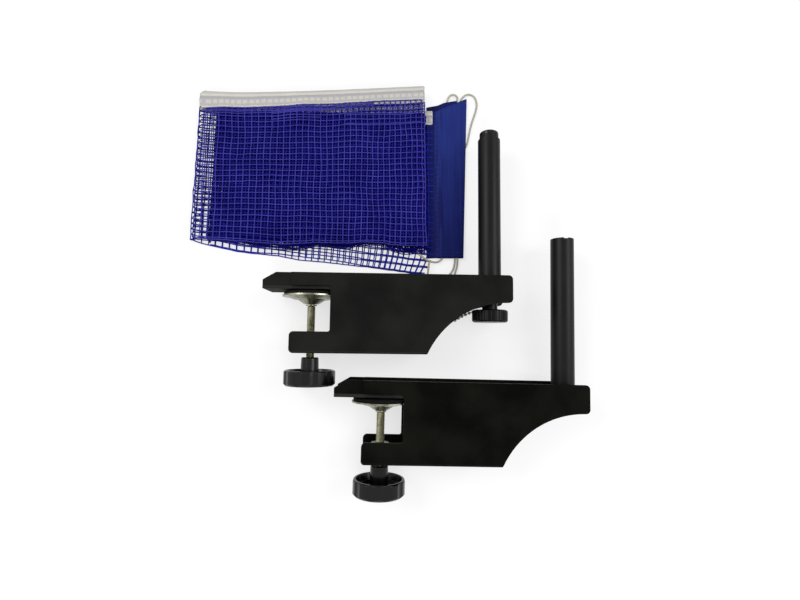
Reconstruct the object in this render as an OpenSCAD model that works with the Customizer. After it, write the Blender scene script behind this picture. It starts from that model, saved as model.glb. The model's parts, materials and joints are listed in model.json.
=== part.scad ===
// A table tennis net set laid flat: a plain clamp, a clamp with a raised, screw-adjusted
// inner post, and the net between them folded up with its cloth end sleeves and cords.
// Each clamp is drawn in its own frame, as it sits on a table: x runs out from the table
// edge, z is up from the table top, and y runs across the clamp. It is then laid down.

/* [Clamp body] */
// Outside width across the two side plates
body_w = 42; // [40:0.5:48]
// Thickness of the folded steel sheet
sheet = 2; // [1.5:0.1:2.2]
// Reach of the arm from the throat wall to its outer end
arm_len = 170; // [165:1:190]
// Height of the arm's top edge above the table top
top_h = 15.5; // [14:0.5:20]
// Depth of the body's lower edge below the table top
body_drop = 59.2; // [55:0.1:70]
// Length of the lower jaw in front of the throat wall
lower_jaw = 37; // [33:0.5:42]
// Clear height of the throat
throat_gap = 39.2; // [36:0.2:39.6]
// Radius of the hollow curve under the arm
arm_curve_r = 82.6; // [78:0.2:83]
// Outer corner radius of the side plates
corner_r = 4; // [2:0.5:4.5]

/* [Upper jaw] */
// Length of the upper jaw in front of the throat wall
nose_len = 63; // [58:0.5:65]
// How far the outer plates reach along the jaw
plate_reach = 36.5; // [33:0.5:40]
// Thickness of the grey jaw pad
pad_t = 3.2; // [2:0.1:4]
// Height of the nose's blunt end above the pad
nose_end = 5.2; // [3:0.2:7]
// Length of the nose chamfer
nose_slope = 12; // [8:0.5:14]

/* [Clamp screw] */
// Distance of the screw from the throat wall
screw_x = 20.3; // [20.2:0.1:22]
// Thread diameter
screw_d = 8; // [7:0.1:8.4]
// Thread pitch
screw_pitch = 1.25; // [1.25:0.25:1.5]
// Radial running clearance of the thread in its nut
thread_play = 0.05; // [0.02:0.01:0.08]
// Diameter of the dished pressure disc
disc_d = 55; // [50:0.5:55]
// Thickness of the disc's rubber face
disc_face_t = 2.7; // [2:0.1:3]
// Gap between the disc's rubber face and the jaw pad
jaw_gap = 1.8; // [1.7:0.1:3]
// Diameter of the screw's ball end
ball_d = 8; // [7.6:0.1:8.2]
// Diameter of the screw knob
knob_d = 48.6; // [44:0.2:50]
// Height of the knob's rim
knob_h = 14.5; // [12:0.5:16]
// Height of the knob's hub above the rim
hub_h = 12; // [10:0.5:13]
// Diameter of the hub
hub_d = 16.4; // [15:0.2:18]
// Gap between the body's underside and the hub
hub_gap = 4.3; // [3:0.1:8]
// Depth of the knob's dish round the hub
dish_depth = 6.5; // [4:0.5:7]
// Number of shallow flutes round the knob
knob_flutes = 10; // [8:1:12]

/* [Posts] */
// Distance of the post from the throat wall
post_x = 152.5; // [150:0.5:153]
// Height of the post's top above the table top
post_top = 154.5; // [150:0.5:160]
// Outside diameter of the post
post_d = 22; // [20:0.2:24]
// Wall thickness of the post tube
post_wall = 1.5; // [1.2:0.1:1.8]
// Radial clearance of the inner post in the outer post
post_play = 0.08; // [0.05:0.01:0.1]
// How far the inner post stands out of the outer post
inner_raise = 4; // [4:0.5:9]
// Height of the inner post's domed cap
cap_h = 5; // [4:0.5:6]

/* [Post tension drive] */
// Diameter of the tension screw
drive_d = 6; // [5:0.5:6]
// Diameter of the knurled tension knob
drive_knob_d = 34.4; // [30:0.2:35]
// Height of the tension knob
drive_knob_h = 11.8; // [10:0.2:12.4]
// Diameter of the knob's stem
drive_stem_d = 14.8; // [12:0.2:16]
// Number of knurl grooves
drive_grooves = 30; // [24:2:36]

/* [Net] */
// Width of one folded layer of net
layer_w = 233.2; // [200:0.1:260]
// Height of the net with its band
net_h = 159; // [150:1:165]
// Width of the white top band
band_w = 16; // [12:0.5:20]
// Thickness of the mesh
mesh_t = 0.9; // [0.6:0.05:1]
// Thickness of the folded band
band_t = 1.2; // [1.05:0.05:1.3]
// Height from one layer to the next
layer_pitch = 1.5; // [1.5:0.05:1.8]
// Gaps across the top layer
gaps_across = 20; // [10:1:20]
// Gaps down the top layer
gaps_down = 15; // [8:1:15]
// Width of a strand of the top layer
strand_w = 1.8; // [1.2:0.1:2.4]
// Width of a cloth end sleeve
sleeve_w = 34; // [30:0.5:36]
// Height of a cloth end sleeve
sleeve_h = 172; // [160:1:176]
// Thickness of the near sleeve
near_sleeve_t = 2.2; // [1.8:0.1:2.6]
// Thickness of the far sleeve
far_sleeve_t = 1.3; // [1:0.1:1.35]
// Diameter of the draw cords
cord_d = 2.2; // [1.8:0.1:2.4]

/* [Lay-out] */
// Where the plain clamp's throat lies, left to right
plain_x = 24; // [23.8:0.1:28]
// Where the plain clamp's throat lies, front to back
plain_y = -115.5; // [-125:0.5:-110]
// Turn of the plain clamp
plain_turn = -1.35; // [-3:0.05:1]
// Where the other clamp's throat lies, left to right
tension_x = -43.5; // [-46:0.5:-43.5]
// Where the other clamp's throat lies, front to back
tension_y = -16; // [-20:0.5:-16]
// Turn of the other clamp
tension_turn = -0.6; // [-1:0.05:0]
// Lengthwise slope of the other clamp, whose arm lies over the cords
tension_slope = 1.6; // [1.2:0.05:1.8]

/* [Hidden] */
$fn = 64;

black_paint = [0.10, 0.10, 0.095];
black_plastic = [0.08, 0.08, 0.08];
zinc = [0.80, 0.78, 0.72];
grey_pad = [0.48, 0.50, 0.46];
net_blue = [0.16, 0.16, 0.62];
cloth_blue = [0.13, 0.16, 0.50];
band_white = [0.90, 0.90, 0.90];

// Clamp levels, measured up from the table top
half_w = body_w / 2;
inner_y = half_w - sheet;
channel_y = inner_y - sheet;
jaw_z = -throat_gap;
base_z = -body_drop;
cut = 1;
channel_back = 14;

// Hollow curve under the arm: its centre stands below the arm's end
arm_curve_x = arm_len - 4.7;
arm_end_z = -10.5;
arm_curve_z = arm_end_z - arm_curve_r;
web_end = arm_curve_x - sqrt(pow(arm_curve_r, 2) - pow(base_z - arm_curve_z, 2));

// Screw, from its ball end down to the hexagon head in the knob
screw_r = screw_d / 2;
face_top = -jaw_gap;
rim_top = face_top - disc_face_t;
rim_t = 1.4;
ball_r = ball_d / 2;
ball_z = rim_top - ball_r - 0.2;
ball_play = 0.05;
dome_r = 13.5;
dome_foot_r = 7;
neck_room = 0.6;
disc_foot = ball_z - ball_r - 0.1;
neck_r = 2.6;
washer_top = disc_foot - 0.8;
washer_t = 0.9;
washer_r = 5.2;
washer_foot = washer_top - washer_t;
hub_top = base_z - hub_gap;
knob_top = hub_top - hub_h;
knob_foot = knob_top - knob_h;
dish_wall = 4.3;
head_af = 13;
head_h = 5.3;
head_top = knob_foot + 6;
bore_fit = 0.05;
thread_top = washer_foot - 0.8;
thread_foot = hub_top + 2;
thread_depth = 0.6;
thread_rings = floor((thread_top - thread_foot) / screw_pitch);

// Welded nut plate in the lower jaw
nut_plate_top = jaw_z - 7;
nut_plate_t = 2.5;
nut_r = 8.3;
nut_h = 3.2;

// Post parts
post_r = post_d / 2;
post_bore_r = post_r - post_wall;
inner_r = post_bore_r - post_play;
inner_wall = 1.4;
saddle_t = 3;
saddle_len = 28;
saddle_flange = 10;
spigot_h = 9;
inner_foot = 35;
inner_top = post_top + inner_raise;
inner_nut_h = 10;
drive_r = drive_d / 2;
drive_top = 70;
groove_r = drive_r - 0.55;
clip_t = 1.2;
run_gap = 0.05;
drive_stem_h = 13.2;
drive_knob_top = -saddle_t - run_gap - drive_stem_h;

// Bead chain that hangs from the far plate
bead_r = 1.6;
bead_count = 7;
bead_step = 2.9;
chain_start = 105.5;

// Lying down: the clamp rests on its disc rim, its knob rim and the end of its arm
disc_rest_z = rim_top - rim_t;
knob_rest_z = knob_foot + 1;
rest_roll = asin((disc_d - knob_d) / 2 / (disc_rest_z - knob_rest_z));
arm_rest_x = arm_len - 2;
rest_slope = asin((disc_d / 2 - half_w + (arm_end_z - disc_rest_z) * sin(rest_roll))
    / (screw_x + arm_rest_x));

function lie_height(slope) = disc_d / 2 * sqrt(pow(sin(slope), 2) + pow(cos(slope) * cos(rest_roll), 2))
    - screw_x * sin(slope) - disc_rest_z * cos(slope) * sin(rest_roll);

module lay_down(x, y, turn, slope) {
    translate([x, y, lie_height(slope)])
        rotate([0, 0, turn])
            rotate([0, slope, 0])
                rotate([rest_roll - 90, 0, 0])
                    children();
}

module lay_plain() { lay_down(plain_x, plain_y, plain_turn, rest_slope) children(); }
module lay_tension() { lay_down(tension_x, tension_y, tension_turn, tension_slope) children(); }

// ---- folded steel body ----

// Square minus a quarter round, to take off an outer corner at the origin
module corner(r) {
    difference() {
        translate([-cut, -cut]) square(r + cut);
        translate([r, r]) circle(r);
    }
}

module side_plate_outline() {
    difference() {
        union() {
            translate([0, base_z]) square([arm_len, top_h - base_z]);
            translate([-plate_reach, pad_t]) square([plate_reach + cut, top_h - pad_t]);
            translate([-lower_jaw, base_z]) square([lower_jaw + cut, jaw_z - base_z]);
            translate([-2, jaw_z - cut]) difference() {
                square([2 + cut, 2 + cut]);
                translate([0, 2 + cut]) circle(2);
            }
        }
        translate([arm_curve_x, arm_curve_z]) circle(r = arm_curve_r, $fn = 96);
        translate([arm_curve_x, base_z - cut])
            square([arm_len - arm_curve_x + cut, arm_end_z - base_z + cut]);
        translate([arm_len, top_h]) rotate(180) corner(corner_r);
        translate([arm_len, arm_end_z]) rotate(90) corner(corner_r);
        translate([-lower_jaw, base_z]) corner(corner_r);
        translate([-lower_jaw, jaw_z]) rotate(-90) corner(corner_r);
    }
}

// Upright plate: the outline's y becomes the clamp's z
module upright(y, t) {
    translate([0, y + t, 0]) rotate([90, 0, 0]) linear_extrude(t) children();
}

module bracket() {
    color(black_paint) difference() {
        union() {
            upright(-half_w, sheet) side_plate_outline();
            upright(inner_y, sheet) side_plate_outline();
            translate([-lower_jaw + corner_r, -half_w, base_z])
                cube([lower_jaw - corner_r + web_end - cut, body_w, sheet]);
        }
        for (side = [-1, 1])
            translate([-lower_jaw - cut, side * half_w, base_z])
                rotate([90, 0, 90])
                    mirror([side > 0 ? 1 : 0, 0])
                        linear_extrude(lower_jaw + web_end + 6) corner(sheet + 0.5);
        translate([-screw_x, 0, base_z - cut]) cylinder(r = screw_r + 1.5, h = sheet + 2 * cut);
    }
}

module jaw_channel_outline() {
    polygon([
        [-nose_len, pad_t], [-nose_len, pad_t + nose_end],
        [-nose_len + nose_slope, top_h], [channel_back, top_h], [channel_back, pad_t]
    ]);
}

module jaw_channel() {
    color(black_paint) {
        upright(-inner_y, sheet) jaw_channel_outline();
        upright(channel_y, sheet) jaw_channel_outline();
        translate([-nose_len, -inner_y, pad_t]) cube([nose_len + channel_back, 2 * inner_y, sheet]);
    }
}

module jaw_pad() {
    color(grey_pad) translate([-nose_len, -inner_y, 0]) cube([nose_len, 2 * inner_y, pad_t]);
}

module nut_plate() {
    color(black_paint) difference() {
        translate([-lower_jaw + corner_r, -inner_y, nut_plate_top - nut_plate_t])
            cube([lower_jaw, 2 * inner_y, nut_plate_t]);
        translate([-screw_x, 0, nut_plate_top - nut_plate_t - cut])
            cylinder(r = screw_r + 0.6, h = nut_plate_t + 2 * cut);
    }
}

module screw_nut() {
    color(zinc) translate([-screw_x, 0, nut_plate_top]) difference() {
        cylinder(r = nut_r, h = nut_h);
        translate([0, 0, -cut]) cylinder(r = screw_r + thread_play, h = nut_h + 2 * cut);
    }
}

// ---- clamp screw, swivel disc and knob ----

function thread_outline() = concat(
    [[0, thread_top], [screw_r - thread_depth, thread_top]],
    [for (i = [0:thread_rings - 1]) each [
        [screw_r, thread_top - (i + 0.5) * screw_pitch],
        [screw_r - thread_depth, thread_top - (i + 1) * screw_pitch]
    ]],
    [[0, thread_top - thread_rings * screw_pitch]]
);

module clamp_screw() {
    color(zinc) translate([-screw_x, 0, 0]) {
        difference() {
            union() {
                translate([0, 0, ball_z]) sphere(ball_r);
                translate([0, 0, thread_top]) cylinder(r = screw_r, h = washer_foot - thread_top);
                translate([0, 0, washer_foot]) cylinder(r = neck_r, h = ball_z - washer_foot);
            }
            translate([0, 0, ball_z + ball_r - 0.4]) cylinder(r = ball_r, h = 1);
        }
        rotate_extrude() polygon(thread_outline());
        translate([0, 0, head_top])
            cylinder(r = screw_r, h = thread_top - thread_rings * screw_pitch - head_top);
        translate([0, 0, head_top - head_h]) cylinder(d = head_af / cos(30), h = head_h, $fn = 6);
    }
}

module thrust_washer() {
    color(zinc) translate([-screw_x, 0, washer_foot]) difference() {
        cylinder(r = washer_r, h = washer_t);
        translate([0, 0, -cut]) cylinder(r = neck_r + bore_fit, h = washer_t + 2 * cut);
    }
}

module pressure_disc() {
    rim_r = disc_d / 2;
    color(zinc) translate([-screw_x, 0, 0]) difference() {
        rotate_extrude($fn = 96) polygon([
            [0, rim_top - 0.3], [dome_r * 0.75, rim_top - 0.3], [rim_r * 0.62, rim_top - 2.2],
            [rim_r - 3, rim_top], [rim_r, rim_top], [rim_r, rim_top - rim_t], [rim_r - 3.4, rim_top - rim_t],
            [rim_r * 0.62, rim_top - rim_t - 2.4], [dome_r, rim_top - rim_t - 2.6],
            [dome_foot_r, disc_foot], [0, disc_foot]
        ]);
        translate([0, 0, ball_z]) sphere(ball_r + ball_play);
        translate([0, 0, ball_z]) cylinder(r = ball_r + ball_play, h = ball_r + 1);
        translate([0, 0, disc_foot - cut]) cylinder(r = neck_r + neck_room, h = ball_r);
    }
}

module disc_face() {
    color(black_plastic) translate([-screw_x, 0, rim_top])
        cylinder(r = disc_d / 2 - 1.5, h = disc_face_t, $fn = 96);
}

module screw_knob() {
    rim_r = knob_d / 2;
    flute_r = 12;
    color(black_plastic) translate([-screw_x, 0, 0]) difference() {
        rotate_extrude($fn = 96) polygon([
            [0, hub_top], [hub_d / 2 - 0.8, hub_top], [hub_d / 2, hub_top - 0.8],
            [hub_d / 2 + 0.6, knob_top - dish_depth], [rim_r - dish_wall, knob_top - dish_depth],
            [rim_r - dish_wall + 1.4, knob_top], [rim_r - 1.2, knob_top], [rim_r, knob_top - 1.2],
            [rim_r, knob_foot + 1.8], [rim_r - 1.8, knob_foot], [0, knob_foot]
        ]);
        for (i = [0:knob_flutes - 1])
            rotate(i * 360 / knob_flutes)
                translate([rim_r + flute_r - 0.9, 0, knob_foot - cut])
                    cylinder(r = flute_r, h = knob_h + 2 * cut);
        translate([0, 0, head_top - cut]) cylinder(r = screw_r + bore_fit, h = hub_top - head_top + 2 * cut);
        translate([0, 0, knob_foot - cut])
            cylinder(d = (head_af + 2 * bore_fit) / cos(30), h = head_top - knob_foot + cut, $fn = 6);
    }
}

// ---- posts ----

module post_saddle(open) {
    color(black_paint) translate([post_x, 0, 0]) difference() {
        union() {
            translate([-saddle_len / 2, -inner_y, -saddle_t]) cube([saddle_len, 2 * inner_y, saddle_t]);
            for (side = [-1, 1])
                translate([-saddle_len / 2, side > 0 ? inner_y - sheet : -inner_y, -saddle_t])
                    cube([saddle_len, sheet, saddle_t + saddle_flange]);
            if (!open) cylinder(r = post_bore_r - bore_fit, h = spigot_h);
        }
        if (open) translate([0, 0, -saddle_t - cut])
            cylinder(r = drive_r + run_gap, h = saddle_t + 2 * cut);
    }
}

module post_tube() {
    translate([post_x, 0, 0]) difference() {
        cylinder(r = post_r, h = post_top);
        translate([0, 0, -cut]) cylinder(r = post_bore_r, h = post_top + 2 * cut);
    }
}

module plain_post() {
    notch_w = 4;
    notch_h = 0.8;
    color(black_paint) difference() {
        post_tube();
        translate([post_x - notch_w / 2, -post_r - cut, post_top - notch_h])
            cube([notch_w, post_wall + 2 * cut, notch_h + cut]);
    }
}

module post_plug() {
    color(black_plastic) translate([post_x, 0, post_top - 3.5 - 8])
        cylinder(r = post_bore_r, h = 8);
}

module inner_post() {
    color(black_paint) translate([post_x, 0, inner_foot]) difference() {
        cylinder(r = inner_r, h = inner_top - inner_foot);
        translate([0, 0, -cut]) cylinder(r = inner_r - inner_wall, h = inner_top - inner_foot + 2 * cut);
    }
}

module inner_post_cap() {
    plug_r = inner_r - inner_wall;
    color(black_plastic) translate([post_x, 0, inner_top]) rotate_extrude() polygon([
        [0, -7], [plug_r, -7], [plug_r, 0], [inner_r, 0], [inner_r, cap_h * 0.45],
        for (a = [15:15:75]) [inner_r - 3 * (1 - cos(a)), cap_h * 0.45 + cap_h * 0.45 * sin(a)],
        [inner_r - 3, cap_h * 0.9], [3, cap_h], [0, cap_h]
    ]);
}

module inner_post_nut() {
    color(zinc) translate([post_x, 0, inner_foot]) difference() {
        cylinder(r = inner_r - inner_wall, h = inner_nut_h);
        translate([0, 0, -cut]) cylinder(r = drive_r + thread_play, h = inner_nut_h + 2 * cut);
    }
}

module tension_screw() {
    color(zinc) translate([post_x, 0, 0]) {
        translate([0, 0, clip_t + 2 * run_gap]) cylinder(r = drive_r, h = drive_top - clip_t - 2 * run_gap);
        translate([0, 0, run_gap]) cylinder(r = groove_r, h = clip_t + run_gap);
        translate([0, 0, drive_knob_top - 6]) cylinder(r = drive_r, h = run_gap + 6 - drive_knob_top);
    }
}

module tension_screw_clip() {
    color(zinc) translate([post_x, 0, run_gap]) difference() {
        cylinder(r = 6.2, h = clip_t);
        translate([0, 0, -cut]) cylinder(r = groove_r, h = clip_t + 2 * cut);
        translate([-groove_r * 0.7, 0, -cut]) cube([groove_r * 1.4, 8, clip_t + 2 * cut]);
    }
}

module tension_knob() {
    rim_r = drive_knob_d / 2;
    groove = 0.9;
    color(black_plastic) translate([post_x, 0, drive_knob_top]) difference() {
        union() {
            cylinder(d = drive_stem_d, h = drive_stem_h);
            rotate_extrude($fn = 96) polygon([
                [0, 0], [rim_r - 1.2, 0], [rim_r, -1.2], [rim_r, 1.4 - drive_knob_h],
                [rim_r - 1.4, -drive_knob_h], [0, -drive_knob_h]
            ]);
        }
        for (i = [0:drive_grooves - 1])
            rotate(i * 360 / drive_grooves)
                translate([rim_r + 0.35, 0, -drive_knob_h - cut])
                    cylinder(r = groove, h = drive_knob_h + 2 * cut, $fn = 16);
        translate([0, 0, -6]) cylinder(r = drive_r, h = drive_stem_h + 6 + cut);
    }
}

module bead_chain() {
    color(zinc) for (i = [0:bead_count - 1]) {
        a = chain_start + i * bead_step;
        r = arm_curve_r - (i == 0 ? 1.2 : 2.2);
        translate([arm_curve_x, half_w - 0.1, arm_curve_z]) rotate([0, -a, 0]) translate([r, 0, 0]) {
            sphere(bead_r, $fn = 24);
            if (i < bead_count - 1)
                cylinder(r = 0.45, h = arm_curve_r * sin(bead_step), $fn = 16);
        }
    }
}

// ---- folded net ----

// The net is doubled, then folded three times, so it lies in four double leaves. A leaf is
// its four corners, clockwise from the top left; neighbours share the edge they fold on.
band_part = band_w / net_h;
leaf_left = -187.2;
leaf_top = 199;
top_left = [leaf_left, leaf_top];
top_right = [leaf_left + layer_w, leaf_top + 7];
top_leaf = [
    top_left, top_right,
    [leaf_left + layer_w + 1, leaf_top - net_h - 6], [leaf_left, leaf_top - net_h]
];
mid_right = [[leaf_left + layer_w - 1, leaf_top - 6], [leaf_left + layer_w, leaf_top - net_h - 9]];
low_left = [[leaf_left - 2, leaf_top - 2], [leaf_left - 5, leaf_top - net_h + 1]];
end_x = leaf_left + layer_w + 10.5;
low_right = [[end_x, leaf_top - 17], [end_x, leaf_top - net_h - 34.5]];
leaves = [
    [low_left[0], low_right[0], low_right[1], low_left[1]],
    [low_left[0], mid_right[0], mid_right[1], low_left[1]],
    [top_leaf[0], mid_right[0], mid_right[1], top_leaf[3]],
    top_leaf
];
top_layer = 7;

// Folds: leaf whose edge it follows, edge (0 left, 1 right), lower layer, upper layer
folds = [[0, 0, 0, 3], [0, 0, 1, 2], [1, 1, 2, 5], [1, 1, 3, 4], [3, 0, 4, 7], [3, 0, 5, 6], [3, 1, 6, 7]];

// A fold runs on past the leaf's edge, laps into the layers that it joins, and is a little
// thinner and shorter than they are
fold_out = 0.3;
fold_lap = 0.5;
fold_thin = 0.2;
fold_short = 0.4;

function blend(a, b, t) = a * (1 - t) + b * t;
function leaf_point(leaf, u, v) =
    blend(blend(leaf[0], leaf[1], u), blend(leaf[3], leaf[2], u), v);
function layer_z(k) = k * layer_pitch + band_t / 2;

module layer_strip(k, v0, v1, t) {
    leaf = leaves[floor(k / 2)];
    translate([0, 0, layer_z(k) - t / 2]) linear_extrude(t) polygon([
        leaf_point(leaf, 0, v0), leaf_point(leaf, 1, v0), leaf_point(leaf, 1, v1), leaf_point(leaf, 0, v1)
    ]);
}

module fold_strip(fold, v0, v1, t) {
    leaf = leaves[fold[0]];
    start = leaf_point(leaf, fold[1], v0);
    run = leaf_point(leaf, fold[1], v1) - start;
    bend_r = (fold[3] - fold[2]) * layer_pitch / 2;
    fold_t = t - fold_thin;
    translate([start.x, start.y, (layer_z(fold[2]) + layer_z(fold[3])) / 2])
        rotate([0, 0, atan2(run.y, run.x)]) rotate([90, 0, 90])
            translate([0, 0, fold_short]) linear_extrude(norm(run) - 2 * fold_short)
                mirror([fold[1] == 0 ? 0 : 1, 0]) translate([-fold_out, 0]) {
                    difference() {
                        circle(bend_r + fold_t / 2);
                        circle(bend_r - fold_t / 2);
                        translate([0, -bend_r - t]) square([bend_r + t, 2 * (bend_r + t)]);
                    }
                    for (side = [-1, 1])
                        translate([0, side * bend_r - fold_t / 2]) square([fold_out + fold_lap, fold_t]);
                }
}

// Top layer, with its open mesh
module open_layer(v0, v1, t) {
    leaf = leaves[3];
    su = strand_w / layer_w / 2;
    sv = strand_w / net_h / 2;
    du = 1 / gaps_across;
    dv = (v1 - v0) / gaps_down;
    corners = [[0, v0], [1, v0], [1, v1], [0, v1]];
    gaps = [for (i = [0:gaps_across - 1], j = [0:gaps_down - 1]) each [
        [i * du + su, v0 + j * dv + sv], [(i + 1) * du - su, v0 + j * dv + sv],
        [(i + 1) * du - su, v0 + (j + 1) * dv - sv], [i * du + su, v0 + (j + 1) * dv - sv]
    ]];
    outline = [for (p = concat(corners, gaps)) leaf_point(leaf, p[0], p[1])];
    loops = [for (i = [0:gaps_across * gaps_down]) [4 * i, 4 * i + 1, 4 * i + 2, 4 * i + 3]];
    translate([0, 0, layer_z(top_layer) - t / 2]) linear_extrude(t) polygon(outline, loops);
}

module net_mesh() {
    color(net_blue) {
        for (k = [0:top_layer - 1]) layer_strip(k, band_part, 1, mesh_t);
        for (fold = folds) fold_strip(fold, band_part, 1, mesh_t);
        open_layer(band_part, 1, mesh_t);
    }
}

module net_band() {
    color(band_white) {
        for (k = [0:top_layer]) layer_strip(k, 0, band_part, band_t);
        for (fold = folds) fold_strip(fold, 0, band_part, band_t);
    }
}

sleeve_foot = 22;
near_sleeve_z = 1.4;

module near_sleeve() {
    color(cloth_blue) translate([0, 0, near_sleeve_z]) linear_extrude(near_sleeve_t) polygon([
        [end_x, sleeve_foot], [end_x, sleeve_foot + sleeve_h - 11],
        [end_x + sleeve_w, sleeve_foot + sleeve_h], [end_x + sleeve_w - 4.5, sleeve_foot]
    ]);
}

module far_sleeve() {
    color(cloth_blue) linear_extrude(far_sleeve_t) polygon([
        [end_x, sleeve_foot + 1], [end_x, sleeve_foot + sleeve_h - 5],
        [end_x + sleeve_w - 6, sleeve_foot + sleeve_h + 1], [end_x + sleeve_w - 7, sleeve_foot + 1]
    ]);
}

// ---- draw cords ----

top_draw_route = [
    [84, 186, 2.6], [86, 193, 2.6], [89, 198.5, 2.1], [93.5, 202, 1.6], [98, 202, 1.2], [102, 199, 1.1],
    [104, 192.5, 1.1], [103.5, 186, 1.1], [101.5, 179, 1.1], [99, 172, 1.1], [97, 165, 1.1],
    [95, 156, 1.1], [93, 147, 1.1], [90, 140, 1.4], [86, 135, 2]
];
top_short_route = [
    [70, 184, 2.6], [70.3, 187, 2.6], [71, 190, 2.6], [71.9, 193, 2.6], [72.9, 196, 2.5], [74.2, 199, 2.1],
    [76.2, 201.2, 1.8], [79, 201.9, 1.7], [81.7, 200.9, 1.8], [83.1, 198.4, 2.1], [83.1, 195.4, 2.5],
    [82.4, 192.4, 2.6], [81.5, 189.5, 2.6], [80.6, 186.6, 2.6], [79.8, 183.6, 2.6]
];
mesh_draw_route = [
    [29, 38, 4.2], [32, 37, 4.2], [34.6, 34.8, 4.2], [36.8, 32, 4.2], [38.8, 29, 4.2], [41.2, 26, 4.2],
    [44, 23.4, 4.2], [47, 21.2, 4.2], [50.2, 19.4, 4.1], [53.6, 18.2, 3.8], [57, 17.7, 3.1],
    [60.4, 18.2, 2.6], [63.4, 20, 2.5], [65.6, 22.8, 2.5], [66.8, 26.2, 2.5], [67, 30, 2.5]
];
tie_route = [
    [51.5, 17.5, 4.2], [51, 14.5, 4.2], [50.6, 11.5, 3.9], [50.2, 8.5, 3.4], [49.8, 5.5, 2.7],
    [49.4, 2.5, 1.9], [49.1, -0.5, 1.3], [48.8, -3.5, 1.1], [48.5, -6.5, 1.1], [48.3, -9.5, 1.1],
    [48, -12.5, 1.1], [47.6, -15.5, 1.1], [47, -18.5, 1.1], [46.1, -21.5, 1.1], [44.8, -24.5, 1.1]
];
loop_route = [
    [78, 28, 2.5], [78, 22.2, 2.4], [77.8, 17.7, 1.6], [77.2, 13.9, 1.2], [76.1, 10.3, 1.1],
    [74.1, 7.1, 1.1], [71.5, 4.2, 1.1], [68.6, 1.3, 1.1], [66.3, -1.2, 1.1], [65.6, -3.8, 1.1],
    [66.6, -6.3, 1.1], [68.9, -7.7, 1.1], [71.5, -7.5, 1.1], [73.6, -5.8, 1.1], [74.8, -2.5, 1.1],
    [76.1, 1.4, 1.1], [77.5, 5.3, 1.1], [78.9, 9.3, 1.1], [80, 13.3, 1.2], [80.5, 17.5, 1.6],
    [80.6, 22.2, 2.4], [80.6, 28, 2.5]
];

function unit(v) = v / norm(v);
function ring_at(route, i) =
    let (n = len(route) - 1,
        along = unit(route[min(i + 1, n)] - route[max(i - 1, 0)]),
        side = unit(cross([0, 0, 1], along)),
        up = cross(along, side))
    [for (k = [0:7]) route[i] + cord_d / 2 * (cos(k * 45) * side + sin(k * 45) * up)];

module cord(route) {
    n = len(route) - 1;
    points = [for (i = [0:n]) each ring_at(route, i)];
    walls = [for (i = [0:n - 1], k = [0:7]) let (a = i * 8 + k, b = i * 8 + (k + 1) % 8)
        each [[a, b, b + 8], [a, b + 8, a + 8]]];
    ends = [for (k = [1:6]) each [[0, k + 1, k], [n * 8, n * 8 + k, n * 8 + k + 1]]];
    color(band_white) polyhedron(points, concat(walls, ends));
}

lay_plain() bracket();  // plain_bracket
lay_plain() jaw_channel();  // plain_jaw_channel
lay_plain() jaw_pad();  // plain_jaw_pad
lay_plain() nut_plate();  // plain_nut_plate
lay_plain() screw_nut();  // plain_screw_nut
lay_plain() clamp_screw();  // plain_clamp_screw
lay_plain() screw_knob();  // plain_screw_knob
lay_plain() thrust_washer();  // plain_thrust_washer
lay_plain() pressure_disc();  // plain_pressure_disc
lay_plain() disc_face();  // plain_disc_face
lay_plain() post_saddle(false);  // plain_post_saddle
lay_plain() plain_post();
lay_plain() post_plug();  // plain_post_plug
lay_tension() bracket();  // tension_bracket
lay_tension() jaw_channel();  // tension_jaw_channel
lay_tension() jaw_pad();  // tension_jaw_pad
lay_tension() nut_plate();  // tension_nut_plate
lay_tension() screw_nut();  // tension_screw_nut
lay_tension() clamp_screw();  // tension_clamp_screw
lay_tension() screw_knob();  // tension_screw_knob
lay_tension() thrust_washer();  // tension_thrust_washer
lay_tension() pressure_disc();  // tension_pressure_disc
lay_tension() disc_face();  // tension_disc_face
lay_tension() post_saddle(true);  // tension_post_saddle
lay_tension() color(black_paint) post_tube();  // tension_post
lay_tension() inner_post();
lay_tension() inner_post_cap();
lay_tension() inner_post_nut();
lay_tension() tension_screw();
lay_tension() tension_screw_clip();
lay_tension() tension_knob();
lay_tension() bead_chain();
net_mesh();
net_band();
near_sleeve();
far_sleeve();
cord(top_draw_route);  // top_draw_cord
cord(top_short_route);  // top_short_cord
cord(mesh_draw_route);  // mesh_draw_cord
cord(tie_route);  // tie_cord
cord(loop_route);  // loop_cord
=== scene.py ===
import json
import math

import bmesh
import bpy
from mathutils import Matrix, Vector, noise


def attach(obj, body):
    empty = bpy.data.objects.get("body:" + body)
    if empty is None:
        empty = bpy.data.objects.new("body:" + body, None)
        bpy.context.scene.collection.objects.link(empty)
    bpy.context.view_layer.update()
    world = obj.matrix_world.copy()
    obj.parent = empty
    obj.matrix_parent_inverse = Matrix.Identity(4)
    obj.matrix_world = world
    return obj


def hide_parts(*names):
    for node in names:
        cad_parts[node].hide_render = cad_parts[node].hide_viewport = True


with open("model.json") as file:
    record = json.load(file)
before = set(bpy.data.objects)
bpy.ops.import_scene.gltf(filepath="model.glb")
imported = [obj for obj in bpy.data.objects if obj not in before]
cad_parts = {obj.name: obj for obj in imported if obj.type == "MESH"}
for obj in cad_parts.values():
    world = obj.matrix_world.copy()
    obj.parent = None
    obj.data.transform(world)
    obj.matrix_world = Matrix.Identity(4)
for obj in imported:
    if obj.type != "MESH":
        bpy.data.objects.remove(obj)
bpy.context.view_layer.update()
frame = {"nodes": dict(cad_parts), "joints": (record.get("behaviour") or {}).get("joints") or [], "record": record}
scene = bpy.context.scene
setBody = "net_set"
clamps = ("plain", "tension")


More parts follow.
